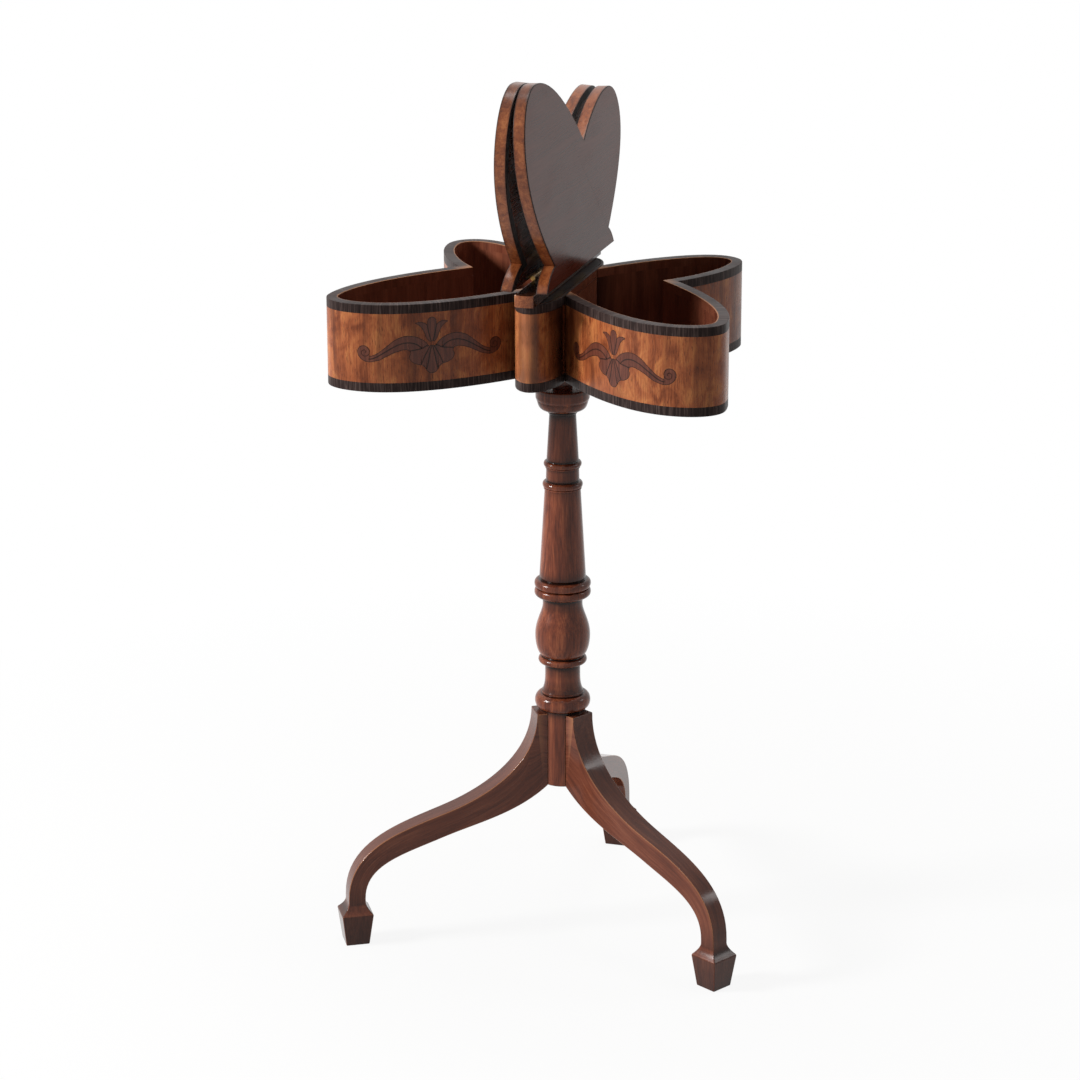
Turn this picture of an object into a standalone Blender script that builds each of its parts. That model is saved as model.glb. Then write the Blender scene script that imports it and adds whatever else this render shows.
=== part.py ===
"""Butterfly work table: two heart-shaped compartments with hinged lids on a turned tripod column.

Metres, +Z up. +X points to the right wing and +Y to the rear. Pieces are laid out about the
column, and the whole table is then moved so that its floor plan is centred on the origin.
The lids are shown open, leaning on each other above the spine.
"""
import math

import bmesh
import bpy
from mathutils import Matrix, Vector

# Clearance kept between pieces that touch
FIT = 0.0003

# Box heights
RIM_HEIGHT = 0.7075
BOX_HEIGHT = 0.0885
RIM_BAND = 0.009
BASE_BAND = 0.0095

# Walls and floors of the two wings
WALL = 0.0115
BOARD_THICKNESS = 0.006
BOARD_LAP = 0.0055
BOARD_LEDGE = 0.0032

# Plan of the central body: straight flanks between two half-oval ends
BODY_HALF_WIDTH = 0.0235
FRONT_ROOT = -0.073
REAR_ROOT = 0.063
FRONT_PROW = 0.050
REAR_PROW = 0.033
BODY_BAND = 0.003

# Plan of the right wing: the points where its outline turns
FOREWING_FRONT_X = 0.158
FOREWING_FRONT_Y = -0.165
FOREWING_TIP_X = 0.2032
FOREWING_TIP_Y = -0.133
NOTCH_X = 0.116
NOTCH_Y = 0.017
HINDWING_TIP_X = 0.1585
HINDWING_TIP_Y = 0.112
HINDWING_REAR_X = 0.128
HINDWING_REAR_Y = 0.141

# Lids and the spine cap between them
LID_THICKNESS = 0.0122
OVERHANG = 0.013
CAP_HALF_WIDTH = 0.010
LID_MEETING_GAP = 0.0004

# Butt hinges: the barrel sits just above the joint between the cap and a lid
HINGE_GAP = 0.001
BARREL_RADIUS = 0.0024
BARREL_RISE = 0.0015
PIN_RADIUS = 0.001
LEAF_LENGTH = 0.038
LEAF_HEIGHT = 0.0092
LEAF_THICKNESS = 0.0015
FRONT_HINGE_Y = -0.050
REAR_HINGE_Y = 0.026
HINGE_SCREW_PITCH = 0.022
HINGE_SCREW_LENGTH = 0.0075
HINGE_SCREW_RADIUS = 0.0009
HINGE_SCREW_HEAD = 0.0018

# Column, turned from one piece: a hub for the legs, then members stacked upwards
HUB_BOTTOM = 0.163
HUB_RADIUS = 0.0240
HUB_HEIGHT = 0.0825
TORUS_HEIGHT = 0.017
TORUS_RADIUS = 0.0291
LOWER_NECK_HEIGHT = 0.031
LOWER_NECK_RADIUS = 0.0184
LOWER_RING_HEIGHT = 0.010
LOWER_RING_RADIUS = 0.0254
VASE_HEIGHT = 0.054
VASE_BELLY = 0.022
VASE_RADIUS = 0.0287
VASE_FOOT_RADIUS = 0.0226
UPPER_NECK_RADIUS = 0.0207
UPPER_NECK_HEIGHT = 0.011
TWIN_RING_HEIGHT = 0.0095
TWIN_RING_RADIUS = 0.0294
SHAFT_FOOT_RADIUS = 0.0244
SHAFT_SHOULDER_RADIUS = 0.0186
SECOND_RING_HEIGHT = 0.0095
SECOND_RING_RADIUS = 0.0208
BETWEEN_RINGS_HEIGHT = 0.0128
BETWEEN_RINGS_RADIUS = 0.0173
FIRST_RING_HEIGHT = 0.0088
FIRST_RING_RADIUS = 0.0196
STEM_FOOT_RADIUS = 0.0167
STEM_HEIGHT = 0.0494
STEM_TOP_RADIUS = 0.0139
CUP_HEIGHT = 0.0151
CUP_RADIUS = 0.0278
CUP_LIP_HEIGHT = 0.0120
SPIGOT_HEIGHT = 0.0260
SPIGOT_RADIUS = 0.0105
TENON_RADIUS = 0.0085
TENON_LENGTH = 0.040

# Legs: seated on flats of the hub by dovetails that slide up from below
LEG_TOP_DROP = 0.0025
LEG_FLAT = 0.0187
LEG_WIDTH = 0.0284
LEG_SHOULDER = 0.0305
ANKLE_SETBACK = 0.0005
ANKLE_HEIGHT = 0.051
ANKLE_DEPTH = 0.018
ANKLE_WIDTH = 0.0205
KNEE_RADIUS = 0.122
KNEE_TOP = 0.1432
KNEE_DEPTH = 0.0300
FOOT_RADIUS = 0.225
FOOT_SHOULDER = 0.0345
FOOT_TOP_SIZE = 0.0305
FOOT_BOTTOM_SIZE = 0.0235
DOVETAIL_NECK = 0.008
DOVETAIL_ROOT = 0.0112
DOVETAIL_DEPTH = 0.009
DOVETAIL_TOP_MARGIN = 0.010

# Three-armed iron brace under the hub
BRACE_THICKNESS = 0.0016
BRACE_HUB_RADIUS = 0.0155
BRACE_ARM_WIDTH = 0.013
BRACE_SCREW_LENGTH = 0.016
BRACE_SCREW_RADIUS = 0.0018
BRACE_SCREW_HEAD = 0.0036

# Sampling of curves
SPAN_STEPS = 8
PROW_STEPS = 9
ROUND_SIDES = 24
BORE_SIDES = 12
SCREW_SIDES = 8
LEG_STEPS = 7
CUT_MARGIN = 0.002

BASE_Z = RIM_HEIGHT - BOX_HEIGHT
COLUMN_SHOULDER = BASE_Z - FIT
LEG_TOP = HUB_BOTTOM + HUB_HEIGHT - LEG_TOP_DROP
ANKLE_RADIUS = FOOT_RADIUS - ANKLE_SETBACK
LID_BOTTOM = RIM_HEIGHT + FIT
LID_TOP = LID_BOTTOM + LID_THICKNESS
AXIS_X = CAP_HALF_WIDTH + HINGE_GAP / 2
AXIS_Z = LID_TOP + BARREL_RISE
FRONT_EDGE = FOREWING_FRONT_Y - OVERHANG
REAR_EDGE = FOOT_RADIUS + FOOT_TOP_SIZE / 2
CENTRE_SHIFT = -(FRONT_EDGE + REAR_EDGE) / 2
LEG_ANGLES = {"front_left": 210.0, "front_right": 330.0, "rear": 90.0}
SIDES = {"left": -1, "right": 1}
HINGE_ROWS = {"front": FRONT_HINGE_Y, "rear": REAR_HINGE_Y}


def finish(name, colour, roughness, metallic=0.0):
    """A plain Principled material."""
    material = bpy.data.materials.new(name)
    material.use_nodes = True
    shader = material.node_tree.nodes["Principled BSDF"]
    shader.inputs["Base Color"].default_value = (*colour, 1.0)
    shader.inputs["Roughness"].default_value = roughness
    shader.inputs["Metallic"].default_value = metallic
    material.diffuse_color = (*colour, 1.0)
    return material


def empty(name, parent=None):
    """A bare frame that other pieces hang from."""
    frame = bpy.data.objects.new(name, None)
    bpy.context.scene.collection.objects.link(frame)
    frame.parent = parent
    return frame


def place(name, mesh, material, parent, angle=0.0):
    """Put a mesh in the scene as one named sub-part, turned about the vertical."""
    mesh.materials.clear()
    mesh.materials.append(material)
    piece = bpy.data.objects.new(name, mesh)
    bpy.context.scene.collection.objects.link(piece)
    piece.parent = parent
    piece.rotation_euler = (0.0, 0.0, math.radians(angle))
    return piece


def to_mesh(bm):
    """Turn a bmesh into a mesh whose faces point outwards."""
    bmesh.ops.recalc_face_normals(bm, faces=bm.faces)
    mesh = bpy.data.meshes.new("shape")
    bm.to_mesh(mesh)
    bm.free()
    return mesh


def loft(rings, closed=False):
    """Skin a row of equal rings of points, with end caps unless the row closes on itself."""
    bm = bmesh.new()
    rows = [[bm.verts.new(point) for point in ring] for ring in rings]
    pairs = list(zip(rows, rows[1:]))
    if closed:
        pairs.append((rows[-1], rows[0]))
    for near, far in pairs:
        for i in range(len(near)):
            j = (i + 1) % len(near)
            bm.faces.new((near[i], near[j], far[j], far[i]))
    if not closed:
        bm.faces.new(rows[0])
        bm.faces.new(rows[-1])
    return to_mesh(bm)


def merge(meshes):
    """Several separate shapes as one mesh, for use as a cutter."""
    bm = bmesh.new()
    for mesh in meshes:
        bm.from_mesh(mesh)
        bpy.data.meshes.remove(mesh)
    merged = bpy.data.meshes.new("shape")
    bm.to_mesh(merged)
    bm.free()
    return merged


def combine(mesh, other, operation):
    """Boolean of two meshes, applied."""
    base = bpy.data.objects.new("base", mesh)
    tool = bpy.data.objects.new("tool", other)
    bpy.context.scene.collection.objects.link(base)
    bpy.context.scene.collection.objects.link(tool)
    modifier = base.modifiers.new("combine", "BOOLEAN")
    modifier.operation = operation
    modifier.object = tool
    bpy.context.view_layer.update()
    result = bpy.data.meshes.new_from_object(base.evaluated_get(bpy.context.evaluated_depsgraph_get()))
    bpy.data.objects.remove(base)
    bpy.data.objects.remove(tool)
    bpy.data.meshes.remove(mesh)
    bpy.data.meshes.remove(other)
    return result


def prism(outline, bottom, top):
    """A flat outline raised between two heights."""
    return loft([[(x, y, z) for x, y in outline] for z in (bottom, top)])


def box(low, high):
    """A block between two corners."""
    outline = [(low[0], low[1]), (high[0], low[1]), (high[0], high[1]), (low[0], high[1])]
    return prism(outline, low[2], high[2])


def turned(profile, sides, frame=Matrix.Identity(4)):
    """A solid of revolution from (radius, height) pairs, about the frame's own Z."""
    rings = []
    for radius, height in profile:
        ring = []
        for k in range(sides):
            angle = 2 * math.pi * k / sides
            ring.append(frame @ Vector((radius * math.cos(angle), radius * math.sin(angle), height)))
        rings.append(ring)
    return loft(rings)


def axis_frame(point, direction):
    """A frame at a point, with Z along a direction."""
    return Matrix.Translation(point) @ direction.to_track_quat("Z", "Y").to_matrix().to_4x4()


def curve(p0, p1, p2, p3, steps):
    """Points of a cubic curve, both ends included."""
    points = []
    for k in range(steps + 1):
        t = k / steps
        s = 1 - t
        points.append(p0 * s**3 + p1 * (3 * s * s * t) + p2 * (3 * s * t * t) + p3 * t**3)
    return points


def tangents(points):
    """Unit directions along an open run of points."""
    result = []
    for i in range(len(points)):
        before = points[max(i - 1, 0)]
        after = points[min(i + 1, len(points) - 1)]
        result.append((after - before).normalized())
    return result


def shifted(points, distance):
    """An open run moved sideways, to the right of its direction of travel when positive."""
    moved = []
    for point, along in zip(points, tangents(points)):
        moved.append(point + Vector((along.y, -along.x)) * distance)
    return moved


def lines_meet(point, along, other, other_along):
    """Where two straight lines in plan cross."""
    cross = along.x * other_along.y - along.y * other_along.x
    gap = other - point
    return point + along * ((gap.x * other_along.y - gap.y * other_along.x) / cross)


def join_at_crossing(first, second):
    """Two runs cut where they cross and joined into one."""
    for i in range(len(first) - 1):
        for j in range(len(second) - 1):
            a = first[i + 1] - first[i]
            b = second[j + 1] - second[j]
            cross = a.x * b.y - a.y * b.x
            if abs(cross) < 1e-12:
                continue
            gap = second[j] - first[i]
            s = (gap.x * b.y - gap.y * b.x) / cross
            t = (gap.x * a.y - gap.y * a.x) / cross
            if 0 <= s <= 1 and 0 <= t <= 1:
                return first[: i + 1] + [first[i] + a * s] + second[j + 1 :]
    raise ValueError("the outlines do not cross")


def lobe(knots, handles):
    """A smooth run through knots. Each handle pair is a share of its span's width and depth."""
    run = [knots[0]]
    for start, end, (lead, trail) in zip(knots, knots[1:], handles):
        reach = end - start
        out = start + Vector((reach.x * lead[0], reach.y * lead[1]))
        back = end - Vector((reach.x * trail[0], reach.y * trail[1]))
        run += curve(start, out, back, end, SPAN_STEPS)[1:]
    return run


def wing_lobes():
    """Outer outline of the right wing as two runs, front lobe then rear lobe, meeting at the notch."""
    root = BODY_HALF_WIDTH + FIT
    notch = Vector((NOTCH_X, NOTCH_Y))
    front_knots = [
        Vector((root, FRONT_ROOT)),
        Vector((FOREWING_FRONT_X, FOREWING_FRONT_Y)),
        Vector((FOREWING_TIP_X, FOREWING_TIP_Y)),
        notch,
    ]
    front_handles = [
        ((0.27, 0.49), (0.36, 0.0)),
        ((0.61, 0.0), (0.0, 0.59)),
        ((0.0, 0.27), (0.65, 0.37)),
    ]
    rear_knots = [
        notch,
        Vector((HINDWING_TIP_X, HINDWING_TIP_Y)),
        Vector((HINDWING_REAR_X, HINDWING_REAR_Y)),
        Vector((root, REAR_ROOT)),
    ]
    rear_handles = [
        ((0.49, 0.25), (0.0, 0.36)),
        ((0.0, 0.59), (0.59, 0.0)),
        ((0.32, 0.0), (0.21, 0.37)),
    ]
    return lobe(front_knots, front_handles), lobe(rear_knots, rear_handles)


def wing_path(inset):
    """The wing's outline moved inwards, from the body at the front round to the body at the rear."""
    front, rear = wing_lobes()
    front_along = tangents(front)
    rear_along = tangents(rear)
    front_in = shifted(front, -inset)
    rear_in = shifted(rear, -inset)
    notch = lines_meet(front_in[-1], front_along[-1], rear_in[0], rear_along[0])
    flank = Vector((front[0].x, 0.0))
    upright = Vector((0.0, 1.0))
    start = lines_meet(front_in[0], front_along[0], flank, upright)
    end = lines_meet(rear_in[-1], rear_along[-1], flank, upright)
    return [start] + front_in[1:-1] + [notch] + rear_in[1:-1] + [end]


def prow(root, length, grow):
    """Half of one oval end of the body, from its flank to the middle, grown outwards."""
    points = []
    for k in range(PROW_STEPS + 1):
        angle = math.pi / 2 * k / PROW_STEPS
        normal = Vector((math.cos(angle) / BODY_HALF_WIDTH, math.sin(angle) / length)).normalized()
        x = BODY_HALF_WIDTH * math.cos(angle) + normal.x * grow
        y = length * math.sin(angle) + normal.y * grow
        points.append(Vector((x, root + math.copysign(y, root))))
    return points


def body_outline(grow=0.0):
    """The whole oval of the body in plan."""
    front = prow(FRONT_ROOT, FRONT_PROW, grow)
    rear = prow(REAR_ROOT, REAR_PROW, grow)
    right = front[::-1] + rear
    left = [Vector((-p.x, p.y)) for p in right[1:-1]]
    return right + left[::-1]


def cut_at_side(points, side):
    """A prow run that starts wide and narrows, ended where it reaches a distance from the middle."""
    for i in range(len(points) - 1):
        if points[i].x >= side > points[i + 1].x:
            share = (points[i].x - side) / (points[i].x - points[i + 1].x)
            return points[: i + 1] + [points[i].lerp(points[i + 1], share)]
    raise ValueError("the prow does not reach that far in")


def lid_outline():
    """The right lid in plan when shut: the box outline plus its overhang, from hinge edge to hinge edge."""
    edge = AXIS_X + HINGE_GAP / 2
    front, rear = wing_lobes()
    front_prow = cut_at_side(prow(FRONT_ROOT, FRONT_PROW, OVERHANG), edge)[::-1]
    rear_prow = cut_at_side(prow(REAR_ROOT, REAR_PROW, OVERHANG), edge)
    outline = join_at_crossing(front_prow, shifted(front, OVERHANG))
    outline = join_at_crossing(outline, shifted(rear, OVERHANG))
    return join_at_crossing(outline, rear_prow)


def open_angle():
    """How far a lid swings from shut until the tips of the two lids lean on each other."""
    tip = max(point.x for point in lid_outline()) - AXIS_X
    return math.pi / 2 + math.asin((AXIS_X + BARREL_RISE - LID_MEETING_GAP / 2) / tip)


def mirrored(points, side):
    """Plan points carried to the left or right half."""
    return [(point.x * side, point.y) for point in points]


def rail(paths_and_heights, side):
    """A strip that follows the wing. Each corner of its section is a path and a height."""
    corners = [([(p.x * side, p.y) for p in path], height) for path, height in paths_and_heights]
    count = len(corners[0][0])
    rings = [[(*path[i], height) for path, height in corners] for i in range(count)]
    return loft(rings)


def wall_strip(side, bottom, top):
    """A strip of full wall thickness between two heights."""
    outer = wing_path(0.0)
    inner = wing_path(WALL)
    return rail([(outer, bottom), (outer, top), (inner, top), (inner, bottom)], side)


def base_lipping(side):
    """The dark strip at the foot of a wing, with a ledge that carries the bottom board."""
    outer = wing_path(0.0)
    middle = wing_path(WALL - BOARD_LAP)
    inner = wing_path(WALL)
    ledge = BASE_Z + BOARD_LEDGE
    top = BASE_Z + BASE_BAND
    section = [(outer, BASE_Z), (outer, top), (middle, top)]
    section += [(middle, ledge), (inner, ledge), (inner, BASE_Z)]
    return rail(section, side)


def bottom_board(side):
    """The floor of a wing, resting on the ledge and held down by the wall."""
    bottom = BASE_Z + BOARD_LEDGE + FIT
    return prism(mirrored(wing_path(WALL - BOARD_LAP + FIT), side), bottom, bottom + BOARD_THICKNESS)


def body_core():
    """The solid spine of the box, rebated for its two bands and bored for the column's tenon."""
    full = body_outline()
    waist = body_outline(-BODY_BAND - FIT)
    lower = BASE_Z + BASE_BAND + FIT
    upper = RIM_HEIGHT - RIM_BAND - FIT
    levels = [(waist, BASE_Z), (waist, lower), (full, lower)]
    levels += [(full, upper), (waist, upper), (waist, RIM_HEIGHT)]
    core = loft([[(p.x, p.y, z) for p in outline] for outline, z in levels])
    bore = TENON_RADIUS + FIT
    mortise = turned([(bore, BASE_Z - CUT_MARGIN), (bore, BASE_Z + TENON_LENGTH + FIT)], ROUND_SIDES)
    return combine(core, mortise, "DIFFERENCE")


def body_band(bottom, top):
    """A dark band round the body, flush with its sides."""
    outer = body_outline()
    inner = body_outline(-BODY_BAND)
    rings = []
    for a, b in zip(outer, inner):
        rings.append([(a.x, a.y, bottom), (a.x, a.y, top), (b.x, b.y, top), (b.x, b.y, bottom)])
    return loft(rings, closed=True)


def screw_profile(length, radius, head, grow=0.0):
    """A countersunk screw as (radius, depth) pairs, its head flush at depth 0."""
    taper = head - radius
    profile = [(head + grow, 0.0), (radius + grow, taper), (radius + grow, length - radius)]
    return profile + [(radius / 2 + grow, length + grow)]


def hinge_screw_frames(side):
    """Where the two screws of a leaf sit, from the barrel's axis. Side 1 drives into +X."""
    height = -BARREL_RISE - LEAF_HEIGHT / 2
    face = side * HINGE_GAP / 2
    frames = []
    for y in (-HINGE_SCREW_PITCH / 2, HINGE_SCREW_PITCH / 2):
        frames.append(axis_frame(Vector((face, y, height)), Vector((side, 0.0, 0.0))))
    return frames


def hinge_screw(frame, grow=0.0):
    """One hinge screw, or with grow the hole that it needs, which also breaks the surface."""
    profile = screw_profile(HINGE_SCREW_LENGTH, HINGE_SCREW_RADIUS, HINGE_SCREW_HEAD, grow)
    if grow:
        profile = [(HINGE_SCREW_HEAD + grow, -HINGE_GAP / 2)] + profile
    return turned(profile, SCREW_SIDES, frame)


def knuckle_spans(middle):
    """The stretches of barrel that belong to one leaf: the middle third, or both ends."""
    third = LEAF_LENGTH / 6
    end = LEAF_LENGTH / 2
    if middle:
        return [(-third, third)]
    return [(-end, -third - FIT), (third + FIT, end)]


def knuckle(side, span):
    """A stretch of barrel with the neck that joins it to its leaf."""
    inner = HINGE_GAP / 2
    outer = inner + LEAF_THICKNESS
    foot = -BARREL_RADIUS - 2 * FIT - LEAF_THICKNESS
    start = -math.acos(outer / BARREL_RADIUS)
    sweep = 2 * math.pi - math.acos(inner / BARREL_RADIUS) - start
    section = [(inner, foot), (outer, foot)]
    for k in range(BORE_SIDES + 1):
        angle = start + sweep * k / BORE_SIDES
        section.append((BARREL_RADIUS * math.cos(angle), BARREL_RADIUS * math.sin(angle)))
    return loft([[(x * side, y, z) for x, z in section] for y in span])


def hinge_leaf(side, middle):
    """One leaf with its knuckles, bored for the pin and drilled for its screws."""
    near = side * HINGE_GAP / 2
    far = side * (HINGE_GAP / 2 + LEAF_THICKNESS)
    bottom = -BARREL_RISE - LEAF_HEIGHT
    top = -BARREL_RADIUS - 2 * FIT
    half = LEAF_LENGTH / 2
    leaf = box((min(near, far), -half, bottom), (max(near, far), half, top))
    leaf = combine(leaf, merge([knuckle(side, span) for span in knuckle_spans(middle)]), "UNION")
    bore_frame = axis_frame(Vector((0.0, -half - CUT_MARGIN, 0.0)), Vector((0.0, 1.0, 0.0)))
    bore = PIN_RADIUS + FIT
    drill = turned([(bore, 0.0), (bore, LEAF_LENGTH + 2 * CUT_MARGIN)], BORE_SIDES, bore_frame)
    leaf = combine(leaf, drill, "DIFFERENCE")
    holes = [hinge_screw(frame, FIT) for frame in hinge_screw_frames(side)]
    return combine(leaf, merge(holes), "DIFFERENCE")


def hinge_pin():
    """The pin through a hinge's barrel."""
    frame = axis_frame(Vector((0.0, -LEAF_LENGTH / 2, 0.0)), Vector((0.0, 1.0, 0.0)))
    return turned([(PIN_RADIUS, 0.0), (PIN_RADIUS, LEAF_LENGTH)], BORE_SIDES, frame)


def leaf_pocket(side):
    """The shallow housing that a leaf is let into, from the barrel's axis."""
    near = -side * HINGE_GAP / 2
    far = side * (HINGE_GAP / 2 + LEAF_THICKNESS + FIT)
    half = LEAF_LENGTH / 2 + FIT
    bottom = -BARREL_RISE - LEAF_HEIGHT - FIT
    return box((min(near, far), -half, bottom), (max(near, far), half, CUT_MARGIN))


def housed(mesh, side, axis_points):
    """A board with a leaf housing and screw holes cut at each hinge position."""
    pockets = []
    holes = []
    for point in axis_points:
        shift = Matrix.Translation(point)
        pocket = leaf_pocket(side)
        pocket.transform(shift)
        pockets.append(pocket)
        for frame in hinge_screw_frames(side):
            holes.append(hinge_screw(shift @ frame, FIT))
    mesh = combine(mesh, merge(pockets), "DIFFERENCE")
    return combine(mesh, merge(holes), "DIFFERENCE")


def spine_cap():
    """The fixed strip between the lids, housed on both sides for the hinges."""
    right = []
    for root, length in ((FRONT_ROOT, FRONT_PROW), (REAR_ROOT, REAR_PROW)):
        whole = prow(root, length, OVERHANG)
        corner = cut_at_side(whole, CAP_HALF_WIDTH)[-1]
        end = [corner] + [p for p in whole if p.x < CAP_HALF_WIDTH]
        right += end if right else end[::-1]
    left = [Vector((-p.x, p.y)) for p in right[1:-1]]
    cap = prism([(p.x, p.y) for p in right + left[::-1]], LID_BOTTOM, LID_TOP)
    for side in SIDES.values():
        points = [Vector((side * AXIS_X, y, AXIS_Z)) for y in HINGE_ROWS.values()]
        cap = housed(cap, -side, points)
    return cap


def lid(side):
    """One lid, shut, measured from its hinge axis."""
    outline = [(side * (p.x - AXIS_X), p.y) for p in lid_outline()]
    board = prism(outline, LID_BOTTOM - AXIS_Z, LID_TOP - AXIS_Z)
    points = [Vector((0.0, y, 0.0)) for y in HINGE_ROWS.values()]
    return housed(board, side, points)


def ring_profile(bottom, height, radius, foot, steps=4):
    """A half-round ring standing out from a foot radius."""
    points = []
    for k in range(steps + 1):
        angle = math.pi * k / steps
        swell = math.sin(angle) ** 0.6 if 0 < k < steps else 0.0
        points.append((foot + (radius - foot) * swell, bottom + height * (1 - math.cos(angle)) / 2))
    return points


def column_foot_profile():
    """The lower part of the lathe profile, from the hub's underside to the top of the twin rings."""
    z = HUB_BOTTOM + HUB_HEIGHT
    profile = [(HUB_RADIUS, HUB_BOTTOM), (HUB_RADIUS, z)]
    profile += ring_profile(z + FIT, TORUS_HEIGHT, TORUS_RADIUS, HUB_RADIUS, 6)
    z += TORUS_HEIGHT
    for k in range(1, 6):
        bend = (1 - math.sin(math.pi / 2 * k / 5)) ** 1.5
        radius = LOWER_NECK_RADIUS + (HUB_RADIUS - LOWER_NECK_RADIUS) * bend
        profile.append((radius, z + LOWER_NECK_HEIGHT * 0.7 * k / 5))
    z += LOWER_NECK_HEIGHT
    profile += ring_profile(z, LOWER_RING_HEIGHT, LOWER_RING_RADIUS, LOWER_NECK_RADIUS)
    z += LOWER_RING_HEIGHT
    profile.append((VASE_FOOT_RADIUS, z + FIT))
    for k in range(1, 4):
        swell = math.sin(math.pi / 2 * k / 3) ** 0.7
        radius = VASE_FOOT_RADIUS + (VASE_RADIUS - VASE_FOOT_RADIUS) * swell
        profile.append((radius, z + VASE_BELLY * k / 3))
    for k in range(1, 5):
        swell = math.cos(math.pi / 2 * k / 5)
        radius = UPPER_NECK_RADIUS + (VASE_RADIUS - UPPER_NECK_RADIUS) * swell
        profile.append((radius, z + VASE_BELLY + (VASE_HEIGHT - VASE_BELLY) * k / 5))
    z += VASE_HEIGHT
    profile += [(UPPER_NECK_RADIUS, z), (UPPER_NECK_RADIUS, z + UPPER_NECK_HEIGHT)]
    z += UPPER_NECK_HEIGHT
    for foot in (UPPER_NECK_RADIUS, SHAFT_FOOT_RADIUS):
        profile += ring_profile(z + FIT, TWIN_RING_HEIGHT, TWIN_RING_RADIUS, foot)
        z += TWIN_RING_HEIGHT + FIT
    profile.append((SHAFT_FOOT_RADIUS, z + FIT))
    return profile


def column_head_profile():
    """The upper part, from the shaft's shoulder to the tenon's top. The shaft fills what is left between."""
    stack = SECOND_RING_HEIGHT + BETWEEN_RINGS_HEIGHT + FIRST_RING_HEIGHT + STEM_HEIGHT
    z = COLUMN_SHOULDER - SPIGOT_HEIGHT - CUP_LIP_HEIGHT - CUP_HEIGHT - stack
    profile = [(SHAFT_SHOULDER_RADIUS, z)]
    profile += ring_profile(z + FIT, SECOND_RING_HEIGHT, SECOND_RING_RADIUS, BETWEEN_RINGS_RADIUS)
    z += SECOND_RING_HEIGHT + BETWEEN_RINGS_HEIGHT
    profile += ring_profile(z, FIRST_RING_HEIGHT, FIRST_RING_RADIUS, STEM_FOOT_RADIUS)
    z += FIRST_RING_HEIGHT + STEM_HEIGHT
    profile.append((STEM_TOP_RADIUS, z))
    for k in range(1, 7):
        t = k / 6
        radius = STEM_TOP_RADIUS + (CUP_RADIUS - STEM_TOP_RADIUS) * math.sin(math.pi / 2 * t) ** 1.4
        profile.append((radius, z + CUP_HEIGHT * t**1.3))
    z += CUP_HEIGHT + CUP_LIP_HEIGHT
    profile += [(CUP_RADIUS, z), (SPIGOT_RADIUS, z), (SPIGOT_RADIUS, COLUMN_SHOULDER)]
    return profile + [(TENON_RADIUS, COLUMN_SHOULDER), (TENON_RADIUS, BASE_Z + TENON_LENGTH)]


def dovetail(grow, bottom, top):
    """The tongue of a leg along +X, or with grow the socket for it, open below."""
    face = LEG_FLAT + FIT + CUT_MARGIN
    root = LEG_FLAT - DOVETAIL_DEPTH - grow
    slope = (DOVETAIL_ROOT - DOVETAIL_NECK) / 2 / DOVETAIL_DEPTH
    neck = DOVETAIL_NECK / 2 + grow - slope * (face - LEG_FLAT)
    wide = DOVETAIL_ROOT / 2 + grow
    outline = [(root, -wide), (face, -neck), (face, neck), (root, wide)]
    return prism(outline, bottom, top)


def leg_edges():
    """Side view of a leg: matching runs of its upper and lower edges, from the hub to the ankle."""
    outer = ANKLE_RADIUS + ANKLE_DEPTH / 2
    inner = ANKLE_RADIUS - ANKLE_DEPTH / 2
    shoulder = Vector((LEG_SHOULDER, LEG_TOP))
    heel = Vector((LEG_FLAT + FIT, HUB_BOTTOM))
    knee = Vector((KNEE_RADIUS, KNEE_TOP))
    under_knee = Vector((KNEE_RADIUS + 0.35 * KNEE_DEPTH, KNEE_TOP - KNEE_DEPTH))
    fall = Vector((0.94, -0.34))
    drop = Vector((0.0, -1.0))
    top_end = Vector((outer, ANKLE_HEIGHT))
    low_end = Vector((inner, ANKLE_HEIGHT))
    upper = curve(shoulder, shoulder + drop * 0.053, knee - fall * 0.045, knee, LEG_STEPS)
    upper += curve(knee, knee + fall * 0.050, top_end - drop * 0.062, top_end, LEG_STEPS)[1:]
    spring = Vector((0.75, -0.66))
    lower = curve(heel, heel + spring * 0.045, under_knee - fall * 0.040, under_knee, LEG_STEPS)
    lower += curve(under_knee, under_knee + fall * 0.046, low_end - drop * 0.038, low_end, LEG_STEPS)[1:]
    upper = [Vector((LEG_FLAT + FIT, LEG_TOP))] + upper
    lower = [heel] + [lower[0].lerp(lower[1], 0.35)] + lower[1:]
    return upper, lower


def side_section(upper, lower, half):
    """A four-cornered section of a leg or arm along +X, from two points of its side view."""
    return [
        (upper.x, -half, upper.y),
        (upper.x, half, upper.y),
        (lower.x, half, lower.y),
        (lower.x, -half, lower.y),
    ]


def leg_screw_frame():
    """The brace screw of a leg, square to its underside."""
    lower = leg_edges()[1]
    along = (lower[4] - lower[2]).normalized()
    point = lower[3]
    inward = Vector((-along.y, 0.0, along.x))
    surface = Vector((point.x, 0.0, point.y)) - inward * (FIT + BRACE_THICKNESS)
    return axis_frame(surface, inward)


def brace_screw(frame, grow=0.0):
    """One brace screw, or with grow the hole that it needs."""
    profile = screw_profile(BRACE_SCREW_LENGTH, BRACE_SCREW_RADIUS, BRACE_SCREW_HEAD, grow)
    if grow:
        profile = [(BRACE_SCREW_HEAD + grow, -CUT_MARGIN)] + profile
    return turned(profile, SCREW_SIDES, frame)


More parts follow.
